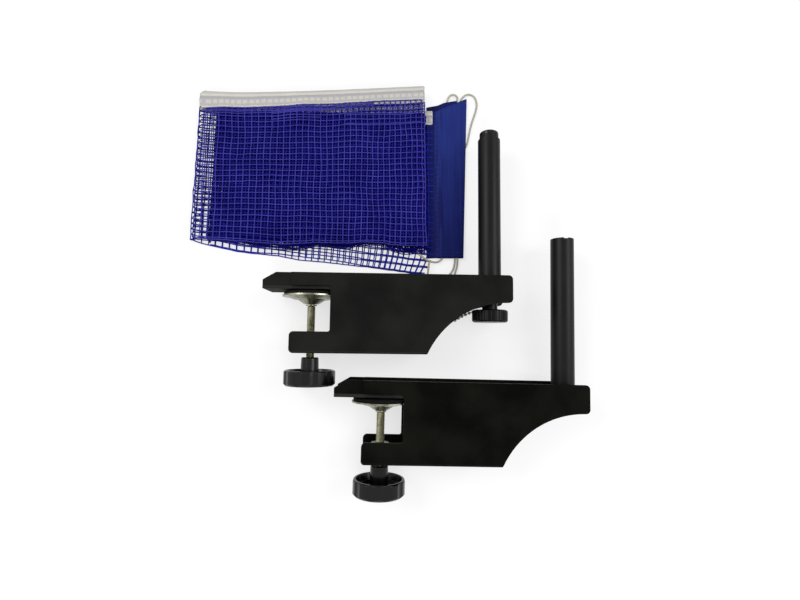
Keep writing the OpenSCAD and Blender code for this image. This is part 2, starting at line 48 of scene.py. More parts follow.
# a colour as a paint chart gives it, 0 to 255, turned to linear light
def paint(red, green, blue):
    def linear(channel):
        part = channel / 255
        return part / 12.92 if part < 0.04045 else ((part + 0.055) / 1.055) ** 2.4
    return (linear(red), linear(green), linear(blue), 1.0)


# a node socket that can be added and multiplied like a number
class Field:
    def __init__(self, graph, socket):
        self.graph = graph
        self.socket = socket

    def maths(self, operation, *values):
        return self.graph.node("ShaderNodeMath", {"operation": operation}, dict(enumerate(values)))

    def output(self, name):
        return Field(self.graph, self.socket.node.outputs[name])

    def __add__(self, other):
        return self.maths("ADD", self, other)

    def __sub__(self, other):
        return self.maths("SUBTRACT", self, other)

    def __rsub__(self, other):
        return self.maths("SUBTRACT", other, self)

    def __mul__(self, other):
        return self.maths("MULTIPLY", self, other)

    def __truediv__(self, other):
        return self.maths("DIVIDE", self, other)

    __radd__ = __add__
    __rmul__ = __mul__

    def sine(self):
        return self.maths("SINE", self)

    def cosine(self):
        return self.maths("COSINE", self)

    def pingPong(self, scale):
        return self.maths("PINGPONG", self, scale)

    # 0 below low, 1 above high, and a smooth step between
    def step(self, low, high):
        return self.graph.node(
            "ShaderNodeMapRange", {"interpolation_type": "SMOOTHSTEP"},
            {"Value": self, "From Min": low, "From Max": high})

    # up between the first two marks, and down again between the last two
    def between(self, low, lowFull, highFull, high):
        return self.step(low, lowFull) * (1 - self.step(highFull, high))

    def spread(self, low, high):
        return self * (high - low) + low


# a node tree of either kind; one method makes every node
class Graph:
    def __init__(self, tree):
        self.tree = tree

    def feed(self, socket, value):
        if isinstance(value, Field):
            self.tree.links.new(value.socket, socket)
        else:
            socket.default_value = value

    def node(self, kind, settings=None, inputs=None, output=0):
        made = self.tree.nodes.new(kind)
        for key, value in (settings or {}).items():
            setattr(made, key, value)
        for key, value in (inputs or {}).items():
            self.feed(made.inputs[key], value)
        return Field(self, made.outputs[output]) if len(made.outputs) else None


# a material with one Principled shader
class Look(Graph):
    def __init__(self, name, constants=None):
        self.material = bpy.data.materials.new(name)
        self.material.use_nodes = True
        super().__init__(self.material.node_tree)
        self.tree.nodes.clear()
        surface = self.node("ShaderNodeBsdfPrincipled", inputs=constants)
        self.shader = surface.socket.node
        self.node("ShaderNodeOutputMaterial", inputs={"Surface": surface})
        self.place = self.node("ShaderNodeTexCoord", output="Object")

    def attribute(self, name):
        return self.node("ShaderNodeAttribute", {"attribute_name": name}, output="Fac")

    def grain(self, scale, detail=2.0, roughness=0.5, stretch=None):
        where = self.place
        if stretch:
            where = self.node("ShaderNodeMapping", inputs={"Vector": where, "Scale": stretch})
        return self.node("ShaderNodeTexNoise", inputs={
            "Vector": where, "Scale": scale, "Detail": detail, "Roughness": roughness}, output="Fac")

    # either colour may be a chip's three numbers
    def blend(self, share, first, second):
        first, second = (paint(*tone) if isinstance(tone, tuple) else tone for tone in (first, second))
        return self.node("ShaderNodeMix", {"data_type": "RGBA"}, {
            "Factor": share, 6: first, 7: second}, output=2)

    def bump(self, height, depth, strength=1.0):
        return self.node("ShaderNodeBump", inputs={
            "Height": height, "Distance": depth, "Strength": strength})

    def finish(self, **sockets):
        names = {"colour": "Base Color", "roughness": "Roughness", "normal": "Normal"}
        for key, value in sockets.items():
            self.feed(self.shader.inputs[names[key]], value)
        return self.material


# a Geometry Nodes tree with named inputs that turns a source mesh into a plain one
class Maker(Graph):
    kinds = {float: "NodeSocketFloat", int: "NodeSocketInt"}

    def __init__(self, name, sizes):
        super().__init__(bpy.data.node_groups.new(name, "GeometryNodeTree"))
        sockets = self.tree.interface
        sockets.new_socket(name="Geometry", in_out="OUTPUT", socket_type="NodeSocketGeometry")
        sockets.new_socket(name="Geometry", in_out="INPUT", socket_type="NodeSocketGeometry")
        self.sizes = sizes
        self.names = {}
        for key, value in sizes.items():
            made = sockets.new_socket(name=key, in_out="INPUT", socket_type=self.kinds[type(value)])
            self.names[key] = made.identifier
        made = sockets.new_socket(name="finish", in_out="INPUT", socket_type="NodeSocketMaterial")
        self.names["finish"] = made.identifier
        self.group = self.tree.nodes.new("NodeGroupInput")
        self.source = self.size("Geometry")

    def size(self, name):
        return Field(self, self.group.outputs[name])

    def keep(self, shape, name, value):
        return self.node("GeometryNodeStoreNamedAttribute", {"data_type": "FLOAT", "domain": "POINT"}, {
            "Geometry": shape, "Name": name, "Value": value})

    # the source's edges as curves and a ring to sweep along them; both remember where their points lie
    def lineAndRing(self, name):
        run = self.node("GeometryNodeSplineParameter", output="Length")
        turn = self.node("GeometryNodeSplineParameter", output="Factor")
        line = self.node("GeometryNodeMeshToCurve", inputs={"Mesh": self.source})
        ring = self.node("GeometryNodeCurvePrimitiveCircle", inputs={
            "Resolution": self.size("sides"), "Radius": self.size("radius")})
        return self.keep(line, "along" + name, run), self.keep(ring, "around" + name, turn), run, turn

    def sweep(self, line, ring, **more):
        return self.node("GeometryNodeCurveToMesh", inputs={
            "Curve": line, "Profile Curve": ring, "Fill Caps": True, **more})

    def close(self, shape):
        smooth = self.node("GeometryNodeSetShadeSmooth", inputs={"Geometry": shape})
        real = self.node("GeometryNodeRealizeInstances", inputs={"Geometry": smooth})
        dressed = self.node("GeometryNodeSetMaterial", inputs={
            "Geometry": real, "Material": self.size("finish")})
        self.node("NodeGroupOutput", inputs={0: dressed})
        return self

    def make(self, name, source, finish, **changes):
        modifier = source.modifiers.new("maker", "NODES")
        modifier.node_group = self.tree
        for key, value in {**self.sizes, **changes}.items():
            modifier[self.names[key]] = value
        modifier[self.names["finish"]] = finish
        return settle(source, name)


def addPiece(name, mesh):
    piece = bpy.data.objects.new(name, mesh)
    scene.collection.objects.link(piece)
    return piece


# a finished piece rides a body, and may take the place of a CAD node and get a new finish
def dressPiece(piece, body, node=None, finish=None):
    if finish:
        piece.data.materials.clear()
        piece.data.materials.append(finish)
    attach(piece, body)
    if node:
        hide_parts(node)


# the evaluated shape as a plain mesh, under a new name, and the source is removed
def settle(source, name):
    bpy.context.view_layer.update()
    shaped = source.evaluated_get(bpy.context.evaluated_depsgraph_get())
    mesh = bpy.data.meshes.new_from_object(shaped)
    old = source.data
    bpy.data.objects.remove(source)
    bpy.data.meshes.remove(old)
    mesh.name = name
    return addPiece(name, mesh)


def meshOf(name, points, edges=(), faces=()):
    mesh = bpy.data.meshes.new(name)
    mesh.from_pydata([tuple(p) for p in points], list(edges), list(faces))
    mesh.update()
    return mesh


# the four-sided faces between rings of points, one ring after the other
def ringFaces(rings, size):
    return [(i * size + k, i * size + (k + 1) % size, (i + 1) * size + (k + 1) % size, (i + 1) * size + k)
            for i in range(rings - 1) for k in range(size)]


# separate polylines as one mesh of edges, for Mesh to Curve
def linesOf(name, lines):
    points = [p for line in lines for p in line]
    edges = []
    first = 0
    for line in lines:
        edges += [(first + i, first + i + 1) for i in range(len(line) - 1)]
        first += len(line)
    return addPiece(name, meshOf(name, points, edges))


def shadeSmooth(mesh, angle=None):
    mesh.polygons.foreach_set("use_smooth", [True] * len(mesh.polygons))
    if angle:
        mesh.set_sharp_from_angle(angle=math.radians(angle))


# turns a closed shape's faces outwards, and may merge points that lie on each other first
def outward(mesh, mergeWithin=None):
    shape = bmesh.new()
    shape.from_mesh(mesh)
    if mergeWithin:
        bmesh.ops.remove_doubles(shape, verts=shape.verts, dist=mergeWithin)
    bmesh.ops.recalc_face_normals(shape, faces=shape.faces)
    shape.to_mesh(mesh)
    shape.free()


# smooth curve through the points, several steps to each span
def smoothRoute(points, steps):
    points = [Vector(p) for p in points]
    line = []
    for i in range(len(points) - 1):
        before = points[max(i - 1, 0)]
        start, end = points[i], points[i + 1]
        after = points[min(i + 2, len(points) - 1)]
        for k in range(steps):
            t = k / steps
            line.append(0.5 * (
                2 * start + (end - before) * t
                + (2 * before - 5 * start + 4 * end - after) * t ** 2
                + (3 * start - before - 3 * end + after) * t ** 3))
    return line + [points[-1]]


def routeLength(line):
    return sum((b - a).length for a, b in zip(line, line[1:]))


# a clamp's own frame: x out along its arm, y across it, z up from the table top
clampMarks = {"screwX": -0.0203, "screwMid": -0.05}  # the screw's line, and where its joint is given


def clampFrame(clamp):
    joints = {j["name"]: j for j in frame["joints"]}
    turn = joints[clamp + "_screw_turn"]
    up = Vector(turn["axis"]).normalized()
    across = Vector(joints[clamp + "_disc_tilt"]["axis"]).normalized()
    along = across.cross(up).normalized()
    place = Matrix((along, across, up)).transposed().to_4x4()
    screw = Vector((clampMarks["screwX"], 0, clampMarks["screwMid"]))
    place.translation = Vector(turn["pos_m"]) - place.to_3x3() @ screw
    return place


clampPlace = {clamp: clampFrame(clamp) for clamp in clamps}


camera = {"place": (0.0192, -0.081, 0.4777), "tilt": 7.16, "swing": -0.27, "lens": 21.17,
          "sensor": 36.0, "near": 0.01}


def makeCamera():
    data = bpy.data.cameras.new("camera")
    data.lens = camera["lens"]
    data.sensor_width = camera["sensor"]
    data.clip_start = camera["near"]
    eye = bpy.data.objects.new("camera", data)
    scene.collection.objects.link(eye)
    eye.location = camera["place"]
    eye.rotation_euler = (math.radians(camera["tilt"]), math.radians(camera["swing"]), 0)
    scene.camera = eye


makeCamera()
print("camera placed")


cord = {"diameter": 0.0022, "lay": 0.0065, "strands": 3, "strandDepth": 0.13, "sides": 12, "steps": 6,
        "braid": 0.0011, "plaits": 6, "fuzz": 5200, "relief": 0.00012,
        "bareEnds": ("tie",),  # the others go back into the cloth
        "colour": (206, 203, 188), "shade": (150, 147, 130)}
cordRoutes = {
    "top_draw": [
        (0.084, 0.186, 0.0026), (0.086, 0.193, 0.0026), (0.089, 0.1985, 0.0021), (0.0935, 0.202, 0.0016),
        (0.098, 0.202, 0.0012), (0.102, 0.199, 0.0011), (0.104, 0.1925, 0.0011), (0.1035, 0.186, 0.0011),
        (0.1015, 0.179, 0.0011), (0.099, 0.172, 0.0011), (0.097, 0.165, 0.0011), (0.095, 0.156, 0.0011),
        (0.093, 0.147, 0.0011), (0.09, 0.14, 0.0014), (0.086, 0.135, 0.002)],
    "top_short": [
        (0.07, 0.184, 0.0026), (0.0703, 0.187, 0.0026), (0.071, 0.19, 0.0026), (0.0719, 0.193, 0.0026),
        (0.0729, 0.196, 0.0025), (0.0742, 0.199, 0.0021), (0.0762, 0.2012, 0.0018), (0.079, 0.2019, 0.0017),
        (0.0817, 0.2009, 0.0018), (0.0831, 0.1984, 0.0021), (0.0831, 0.1954, 0.0025),
        (0.0824, 0.1924, 0.0026), (0.0815, 0.1895, 0.0026), (0.0806, 0.1866, 0.0026),
        (0.0798, 0.1836, 0.0026)],
    "mesh_draw": [
        (0.029, 0.038, 0.0042), (0.032, 0.037, 0.0042), (0.0346, 0.0348, 0.0042), (0.0368, 0.032, 0.0042),
        (0.0388, 0.029, 0.0042), (0.0412, 0.026, 0.0042), (0.044, 0.0234, 0.0042), (0.047, 0.0212, 0.0042),
        (0.0502, 0.0194, 0.0041), (0.0536, 0.0182, 0.0038), (0.057, 0.0177, 0.0031),
        (0.0604, 0.0182, 0.0026), (0.0634, 0.02, 0.0025), (0.0656, 0.0228, 0.0025),
        (0.0668, 0.0262, 0.0025), (0.067, 0.03, 0.0025)],
    "tie": [
        (0.0515, 0.0175, 0.0042), (0.051, 0.0145, 0.0042), (0.0506, 0.0115, 0.0039),
        (0.0502, 0.0085, 0.0034), (0.0498, 0.0055, 0.0027), (0.0494, 0.0025, 0.0019),
        (0.0491, -0.0005, 0.0013), (0.0488, -0.0035, 0.0011), (0.0485, -0.0065, 0.0011),
        (0.0483, -0.0095, 0.0011), (0.048, -0.0125, 0.0011), (0.0476, -0.0155, 0.0011),
        (0.047, -0.0185, 0.0011), (0.0461, -0.0215, 0.0011), (0.0448, -0.0245, 0.0011)],
    "loop": [
        (0.078, 0.028, 0.0025), (0.078, 0.0222, 0.0024), (0.0778, 0.0177, 0.0016), (0.0772, 0.0139, 0.0012),
        (0.0761, 0.0103, 0.0011), (0.0741, 0.0071, 0.0011), (0.0715, 0.0042, 0.0011),
        (0.0686, 0.0013, 0.0011), (0.0663, -0.0012, 0.0011), (0.0656, -0.0038, 0.0011),
        (0.0666, -0.0063, 0.0011), (0.0689, -0.0077, 0.0011), (0.0715, -0.0075, 0.0011),
        (0.0736, -0.0058, 0.0011), (0.0748, -0.0025, 0.0011), (0.0761, 0.0014, 0.0011),
        (0.0775, 0.0053, 0.0011), (0.0789, 0.0093, 0.0011), (0.08, 0.0133, 0.0012),
        (0.0805, 0.0175, 0.0016), (0.0806, 0.0222, 0.0024), (0.0806, 0.028, 0.0025)],
}


def cordFibre():
    look = Look("white braided cord", {"Specular IOR Level": 0.15})
    along = look.attribute("alongCord") * (2 * math.pi / cord["braid"])
    around = look.attribute("aroundCord") * (2 * math.pi * cord["plaits"])
    weave = (along + around).sine() * (along - around).sine()
    fuzz = look.grain(cord["fuzz"], 3)
    tone = (weave * 0.3 + fuzz * 0.9).step(0.0, 0.9)
    return look.finish(
        colour=look.blend(tone, cord["shade"], cord["colour"]),
        roughness=fuzz.spread(0.7, 0.92),
        normal=look.bump(weave * 0.6 + fuzz * 0.5, cord["relief"], 0.8))


# three strands laid round each other along a line
def ropeMaker():
    maker = Maker("laid cord", {"radius": cord["diameter"] / 2, "lay": cord["lay"],
                                "depth": cord["strandDepth"], "sides": cord["sides"]})
    line, ring, run, turn = maker.lineAndRing("Cord")
    line = maker.node("GeometryNodeSetCurveTilt", inputs={
        "Curve": line, "Tilt": run / maker.size("lay") * (2 * math.pi)})
    lobe = (turn * (2 * math.pi * cord["strands"])).cosine() * maker.size("depth")
    spot = maker.node("GeometryNodeInputPosition")
    moved = maker.node("ShaderNodeVectorMath", {"operation": "SCALE"}, {0: spot, "Scale": lobe})
    ring = maker.node("GeometryNodeSetPosition", inputs={"Geometry": ring, "Offset": moved})
    return maker.close(maker.sweep(line, ring))


def makeCords():
    finish = cordFibre()
    maker = ropeMaker()
    for name, points in cordRoutes.items():
        line = smoothRoute(points, cord["steps"])
        piece = maker.make(name + "_white_cord", linesOf(name + "_line", [line]), finish)
        dressPiece(piece, setBody, name + "_cord")
        round(routeLength(line), 4)
    print("cords laid:", len(cordRoutes))


makeCords()


net = {"left": -0.1872, "top": 0.199, "width": 0.2332, "height": 0.159, "bandWidth": 0.0166,
       "columns": 37, "rows": 24, "tighten": 0.035,  # meshes each way, crowded towards the right
       "pitch": 0.0015, "lift": 0.0008, "innerFold": 0.017,  # layer to layer, off the floor, folds drawn in
       "footSag": 0.0045, "sagLean": 0.55, "looseCorner": 0.0095, "looseFrom": 0.82,  # the lowest leaf
       "rowGap": 0.0009, "rowDrift": 0.0022, "driftOver": (0.28, 0.45),  # the rows of its upper layer
       "slip": 0.01, "slipOver": (0.32, 0.62),  # and its columns
       "footFrom": 0.7,  # the upper leaves follow their foot's edge from here down
       "topRise": 0.0014, "riseWithin": 0.15, "topSag": 0.0022, "topLean": 0.75,  # the band's upper edge
       "cornerCut": 0.0032, "cutWithin": (0.03, 0.02),
       "topBand": (0.83, 0.25, 2.2), "lowBand": (0.18, 4),  # how the top and lowest layers' band narrows
       "seed": 3}
# how uneven the cloth lies: by how much, how finely, and the step from one draw to the next
uneven = {"crumple": (0.0014, 34, 3.7), "jitter": (0.00052, 330, 9.1), "ripple": (0.00022, 60, 5.3)}
# the rounding of the folds: reach for half a gap, its spread, how finely it changes, and where points lie
fold = {"reach": 1.25, "spread": 0.6, "fineness": (2.3, 31), "angles": (40, 90, 140)}
# each leaf of two layers, lowest first: how far its corners stand off a plain oblong, from the top left one
# clockwise
leafSteps = [
    [(-0.002, -0.002), (0.0105, -0.017), (0.0105, -0.0345), (-0.005, 0.001)],
    [(-0.002, -0.002), (-0.001, -0.006), (0.0, -0.009), (-0.005, 0.001)],
    [(0.0, 0.0), (-0.001, -0.006), (0.0, -0.009), (0.0, 0.0)],
    [(0.0, 0.0), (0.0, 0.007), (0.001, -0.006), (0.0, 0.0)]]
# how far the foot of the upper leaves stands off a straight line, by share of the net's width
footEdge = [(0.0, 0.0008), (0.1, -0.0006), (0.2, -0.0023), (0.25, -0.004), (0.31, -0.0059), (0.38, -0.0072),
            (0.45, -0.0071), (0.49, -0.0056), (0.525, -0.0022), (0.58, -0.002), (0.68, -0.0029),
            (0.705, 0.001), (0.76, 0.0022), (0.83, 0.0018), (0.85, -0.0018), (0.87, -0.0045),
            (0.92, -0.0066), (1.0, -0.0042)]
footShare = (0.0, 1.0, 0.8, 0.25)  # how much of it each leaf takes up
# the yarn of each group of layers: how thick, how closely it is set, how many sides, its two tones; the yarn is
# the same in every layer, and the darker tones below the top layer are painted shade
yarns = {
    "net_top_layer": {"layers": (7,), "radius": 0.00056, "dense": 1, "sides": 6,
                      "colour": (70, 68, 164), "shade": (34, 32, 118)},
    # painted shade: the layer just under the top one gets a dark tone, as it lies in the top layer's shadow
    "net_second_layer": {"layers": (6,), "radius": 0.00074, "dense": 1, "sides": 5,
                         "colour": (30, 28, 130), "shade": (8, 6, 94)},
    "net_upper_layers": {"layers": (3, 4), "radius": 0.00055, "dense": 1, "sides": 5,
                         "colour": (38, 38, 138), "shade": (18, 18, 104)},
    # painted shade: the middle layers are near black, set twice as close and thicker, a dark filler standing for
    # the shade deep in the stack
    "net_middle_layers": {"layers": (2, 5), "radius": 0.00116, "dense": 2, "sides": 5,
                          "colour": (6, 3, 110), "shade": (0, 0, 86)},
    "net_lowest_layers": {"layers": (0, 1), "radius": 0.0006, "dense": 1, "sides": 6,
                          "colour": (38, 46, 166), "shade": (18, 23, 130)},
}
# rows gathered under the top layer's band: from and to in its width, from and to in meshes, how many
gathers = [(0.0, 0.78, 0.12, 1.1, 4), (0.74, 1.0, 0.02, 0.6, 2), (0.62, 1.0, 1.6, 3.9, 4),
           (0.3, 0.56, 1.3, 2.4, 2)]

# the order in which the doubled, folded net runs through its layers, from one sleeve to the other
foldOrder = (0, 3, 4, 7, 6, 5, 2, 1)
innerLayers = (1, 2, 5, 6)
topLayer = 7
closedLayers = (3, 7)  # a last row runs along their foot
columnPhase = {0: 0.085, 1: 0.085, 2: 0.1, 3: 0.34, 4: 0.66, 5: 0.35, 6: 0.1, 7: 0.68}
rowPhase = {0: 0.99, 1: 0.99, 2: 0.3, 3: 0.78, 4: 0.7, 5: 0.05, 6: 0.15, 7: 0.65}
# layers with the same number here are crumpled alike
crumpledWith = {0: 0, 1: 0, 2: 4, 3: 3, 4: 6, 5: 4, 6: 5, 7: 7}


def leafCorners(steps):
    left, top = net["left"], net["top"]
    right, foot = left + net["width"], top - net["height"]
    oblong = ((left, top), (right, top), (right, foot), (left, foot))
    return [Vector((x + stepX, y + stepY)) for (x, y), (stepX, stepY) in zip(oblong, steps)]


leaves = [leafCorners(steps) for steps in leafSteps]
bandShare = net["bandWidth"] / net["height"]
noise.seed_set(net["seed"])  # without it noise_vector starts from the clock


def footLine(u):
    for (before, low), (after, high) in zip(footEdge, footEdge[1:]):
        if u <= after:
            break
    return low + (high - low) * (min(max(u, before), after) - before) / (after - before)


# a single swell, nothing before its start and after its width
def swell(share, start, width):
    return max(0.0, math.sin(math.pi * (share - start) / width))


def noiseSpot(kind, flat, draw):
    _, fineness, step = uneven[kind]
    return Vector((flat.x * fineness, flat.y * fineness, draw * step))


# a point of one layer; u runs from its left fold to its right end, v from its top to its foot
def layerPoint(layer, u, v):
    leaf = leaves[layer // 2]
    if layer in innerLayers:
        inset = net["innerFold"] / net["width"]
        u = inset + u * (1 - inset)
    flat = leaf[0].lerp(leaf[1], u).lerp(leaf[3].lerp(leaf[2], u), v)
    if layer < 2:
        # the lowest leaf sags at its foot, and its right corner has come loose
        loose = max(0.0, (v - net["looseFrom"]) / (1 - net["looseFrom"]))
        flat.y -= net["footSag"] * math.sin(math.pi * u ** net["sagLean"]) * v ** 3
        flat.x -= net["looseCorner"] * u ** 3 * loose ** 2
        flat.y += layer * (net["rowGap"] + net["rowDrift"] * swell(u, *net["driftOver"]))
    else:
        drop = footLine(u)
        taken = footShare[layer // 2] if drop < 0 else 1.0
        flat.y += drop * taken * max(0.0, (v - net["footFrom"]) / (1 - net["footFrom"])) ** 2
    # the band dips a little in its middle and stands up at its left end, whose corner is cut
    dip = net["topSag"] * math.sin(math.pi * max(u, 0.0) ** net["topLean"])
    rise = net["topRise"] * max(0.0, 1 - u / net["riseWithin"]) - dip
    flat.y += rise * max(0.0, 1 - v) ** 2
    cutAcross, cutDown = net["cutWithin"]
    flat.x += net["cornerCut"] * max(0.0, 1 - u / cutAcross) * max(0.0, 1 - v / cutDown)
    spot = Vector((flat.x, flat.y, layer * net["pitch"] + net["lift"]))
    draw = crumpledWith[layer]
    wave = noise.noise_vector(noiseSpot("crumple", flat, draw)) * uneven["crumple"][0]
    fine = noise.noise_vector(noiseSpot("jitter", flat, draw)) * uneven["jitter"][0]
    ripple = noise.noise(noiseSpot("ripple", flat, draw)) * uneven["ripple"][0]
    keep = min(1.0, v / bandShare)  # the band holds the net's top straight
    return spot + Vector((wave.x + fine.x, (wave.y + fine.y) * keep, ripple))


# points round the fold between two layers
def foldPoints(first, second, rightSide, v, angles=fold["angles"]):
    edge = 1.0 if rightSide else 0.0
    start, end = layerPoint(first, edge, v), layerPoint(second, edge, v)
    middle, half = (start + end) / 2, (end - start) / 2
    byLayer, byHeight = fold["fineness"]
    loose = fold["reach"] + fold["spread"] * noise.noise(Vector((first, second * byLayer, v * byHeight)))
    reach = abs(half.z) * loose * (1 if rightSide else -1)
    return [middle - half * math.cos(math.radians(a)) + Vector((reach * math.sin(math.radians(a)), 0, 0))
            for a in angles]


def columnShares(layer, dense=1):
    count = net["columns"] * dense
    shares = [(i + columnPhase[layer]) / count for i in range(count)]
    # the cells are drawn closer together towards the right end
    shares = [share + net["tighten"] * math.sin(math.pi * share) for share in shares]
    if layer == 1:
        # away from its left end this layer slips off the meshes of the one below it
        shares = [share + net["slip"] * swell(share, *net["slipOver"]) for share in shares]
    if layer in innerLayers:
        inset = net["innerFold"] / net["width"]
        shares = [(share - inset) / (1 - inset) for share in shares if share > inset]
    return shares


# where a layer's band ends and its meshes start; the top layer's band turns away to the right
def bandFoot(layer, u):
    if layer == topLayer:
        narrow, more, lean = net["topBand"]
        return bandShare * (narrow + more * (1 - u) ** lean)
    less, lean = net["lowBand"]
    return bandShare * (1 - less * u ** lean) if layer < 2 else bandShare


def rowShares(layer, dense=1):
    count = net["rows"] * dense
    shares = [bandShare + (1 - bandShare) * (i + rowPhase[layer]) / count for i in range(count)]
    return shares + [1.0] * (layer in closedLayers)


# short rows where the top layer's meshes are gathered
def gatheredRows(layer, shares):
    cell = (1 - bandShare) / net["rows"]
    rows = []
    for start, end, low, high, count in (gathers if layer == topLayer else []):
        for k in range(count):
            meshes = low + (high - low) * k / (count - 1)
            across = [u for u in shares if start < u < end]
            rows.append([layerPoint(layer, u, bandFoot(layer, u) + cell * meshes) for u in across])
    return rows


def yarnLines(layers, dense):
    lines = []
    for layer in layers:
        position = foldOrder.index(layer)
        leftward = position % 2 == 0
        shares = [0.0] + columnShares(layer) + [1.0]
        lines += gatheredRows(layer, shares)
        if leftward:
            shares.reverse()
        following = foldOrder[position + 1] if position + 1 < len(foldOrder) else None
        for v in rowShares(layer, dense):
            line = [layerPoint(layer, u, v) for u in shares]
            if following is not None:
                line += foldPoints(layer, following, not leftward, v)
                line.append(layerPoint(following, 1.0 if not leftward else 0.0, v))
            lines.append(line)
        for u in columnShares(layer, dense):
            foot = bandFoot(layer, u)
            below = [foot] + [v for v in rowShares(layer) if v > foot]
            lines.append([layerPoint(layer, u, v) for v in below])
        if following is not None:
            lines.append([foldPoints(layer, following, not leftward, v, (90,))[0]
                          for v in [bandShare] + rowShares(layer)])
    return lines


# each group of layers sets its own radius and sides
yarnLook = {"radius": 0.0008, "sides": 6, "unevenness": 0.16, "fineness": 260.0, "twist": 0.0016, "plies": 2,
            "patch": 46, "relief": 0.0001}


def yarnMaker():
    maker = Maker("net yarns", {key: yarnLook[key] for key in ("radius", "sides", "unevenness", "fineness")})
    line, ring, _, _ = maker.lineAndRing("Yarn")
    lumps = maker.node("ShaderNodeTexNoise", inputs={
        "Scale": maker.size("fineness"), "Detail": 1.0}, output="Fac")
    thick = 1 + (lumps - 0.5) * maker.size("unevenness") * 2
    return maker.close(maker.sweep(line, ring, Scale=thick))


# the shade and colour passed in come from the yarns table, whose darker tones below the top layer are painted
# shade
def netYarn(name, shade, colour):
    look = Look(name, {"Specular IOR Level": 0.05})
    along = look.attribute("alongYarn") * (2 * math.pi / yarnLook["twist"])
    around = look.attribute("aroundYarn") * (2 * math.pi * yarnLook["plies"])
    twist = (along + around).sine() * 0.5 + 0.5
    patch = look.grain(yarnLook["patch"], 3)
    tone = (twist * 0.45 + patch * 0.7).step(0.15, 0.95)
    return look.finish(
        colour=look.blend(tone, shade, colour),
        roughness=patch.spread(0.45, 0.75),
        normal=look.bump(twist, yarnLook["relief"], 0.7))


def makeNet():
    maker = yarnMaker()
    for name, yarn in yarns.items():
        finish = netYarn(name.replace("_", " ") + " yarn", yarn["shade"], yarn["colour"])
        piece = maker.make(name, linesOf(name + "_lines", yarnLines(yarn["layers"], yarn["dense"])),
                           finish, radius=yarn["radius"], sides=yarn["sides"])
        dressPiece(piece, setBody, "net_mesh")
        print(name, "triangles", sum(len(face.vertices) - 2 for face in piece.data.polygons))


makeNet()


band = {"stations": 96, "edge": 0.00042, "hem": 0.00062, "hemTop": 0.00125, "edgeRound": 8, "hemFrom": 0.2,
        "foldThin": 0.6, "foldAngles": (30, 60, 90, 120, 150), "smooth": 55,
        "sewnAt": (0.34, 0.91), "sewnLift": 0.0005, "sewnSteps": 60,
        "cell": 0.0064, "wander": 0.0014, "thread": 0.0007, "threads": 22, "relief": 0.00035,
        "colour": (199, 197, 186), "stripe": (162, 160, 164)}
# where the woven stripes start and end, as shares of the band's width; the bright line in hem is no stripe but a
# painted highlight along the rolled hem's lower side
stripes = {"cells": (0.48, 0.58, 0.72, 0.82), "top": (0.2, 0.26), "hem": (0.17, 0.24, 0.29, 0.35),
           "ground": (0.44, 0.52), "foot": (0.86, 0.93)}
# across the band: share of its width, and which part of the cloth is there
bandProfile = [(0.0, 0.0), (0.02, 0.5), (0.07, 0.85), (0.15, 1.0), (0.23, 0.85), (0.29, 0.45), (0.33, 0.2),
               (0.4, 0.22), (0.6, 0.24), (0.84, 0.22), (0.9, 0.12), (0.96, 0.2), (1.0, 0.0)]


def bandThickness(part, layer):
    tall = band["hemTop"] if layer == topLayer else band["hem"]
    hem = max(0, part - band["hemFrom"]) / (1 - band["hemFrom"])
    return band["edge"] * min(1, part * band["edgeRound"]) + (tall - band["edge"]) * hem


def bandStations():
    stations = []
    for position, layer in enumerate(foldOrder):
        leftward = position % 2 == 0
        count = band["stations"]
        shares = [i / count for i in range(count + 1)]
        if leftward:
            shares.reverse()
        for u in shares:
            stations.append((layer, lambda share, k=layer, u=u:
                             layerPoint(k, u, share * bandFoot(k, u)), 1.0))
        if position + 1 < len(foldOrder):
            following = foldOrder[position + 1]
            for angle in band["foldAngles"]:
                stations.append((None, lambda share, a=layer, b=following, r=not leftward, t=angle:
                                 foldPoints(a, b, r, share * bandShare, (t,))[0], band["foldThin"]))
    return stations


def bandMesh():
    stations = bandStations()
    middle = [[place(share) for share, _ in bandProfile] for _, place, _ in stations]
    ring = 2 * len(bandProfile) - 2
    points, along, across = [], [], []
    run = 0.0
    for i, (layer, _, thin) in enumerate(stations):
        before, after = middle[max(i - 1, 0)], middle[min(i + 1, len(stations) - 1)]
        if i:
            run += (middle[i][0] - middle[i - 1][0]).length
        rows = []
        for k, (share, part) in enumerate(bandProfile):
            forward = (after[k] - before[k]).normalized()
            down = (middle[i][-1] - middle[i][0]).normalized()
            face = forward.cross(down).normalized()
            rows.append((middle[i][k], face * bandThickness(part, layer) * thin, share))
        for spot, rise, share in rows:
            points.append(spot + rise)
            across.append(share)
        for spot, rise, share in rows[-2:0:-1]:
            points.append(spot - rise)
            across.append(share)
        along += [run] * ring
    faces = ringFaces(len(stations), ring)
    faces.append(tuple(range(ring - 1, -1, -1)))
    faces.append(tuple((len(stations) - 1) * ring + k for k in range(ring)))
    mesh = meshOf("net_white_band", points, faces=faces)
    for name, values in (("alongBand", along), ("acrossBand", across)):
        mesh.attributes.new(name, "FLOAT", "POINT").data.foreach_set("value", values)
    outward(mesh)
    shadeSmooth(mesh, band["smooth"])
    return mesh


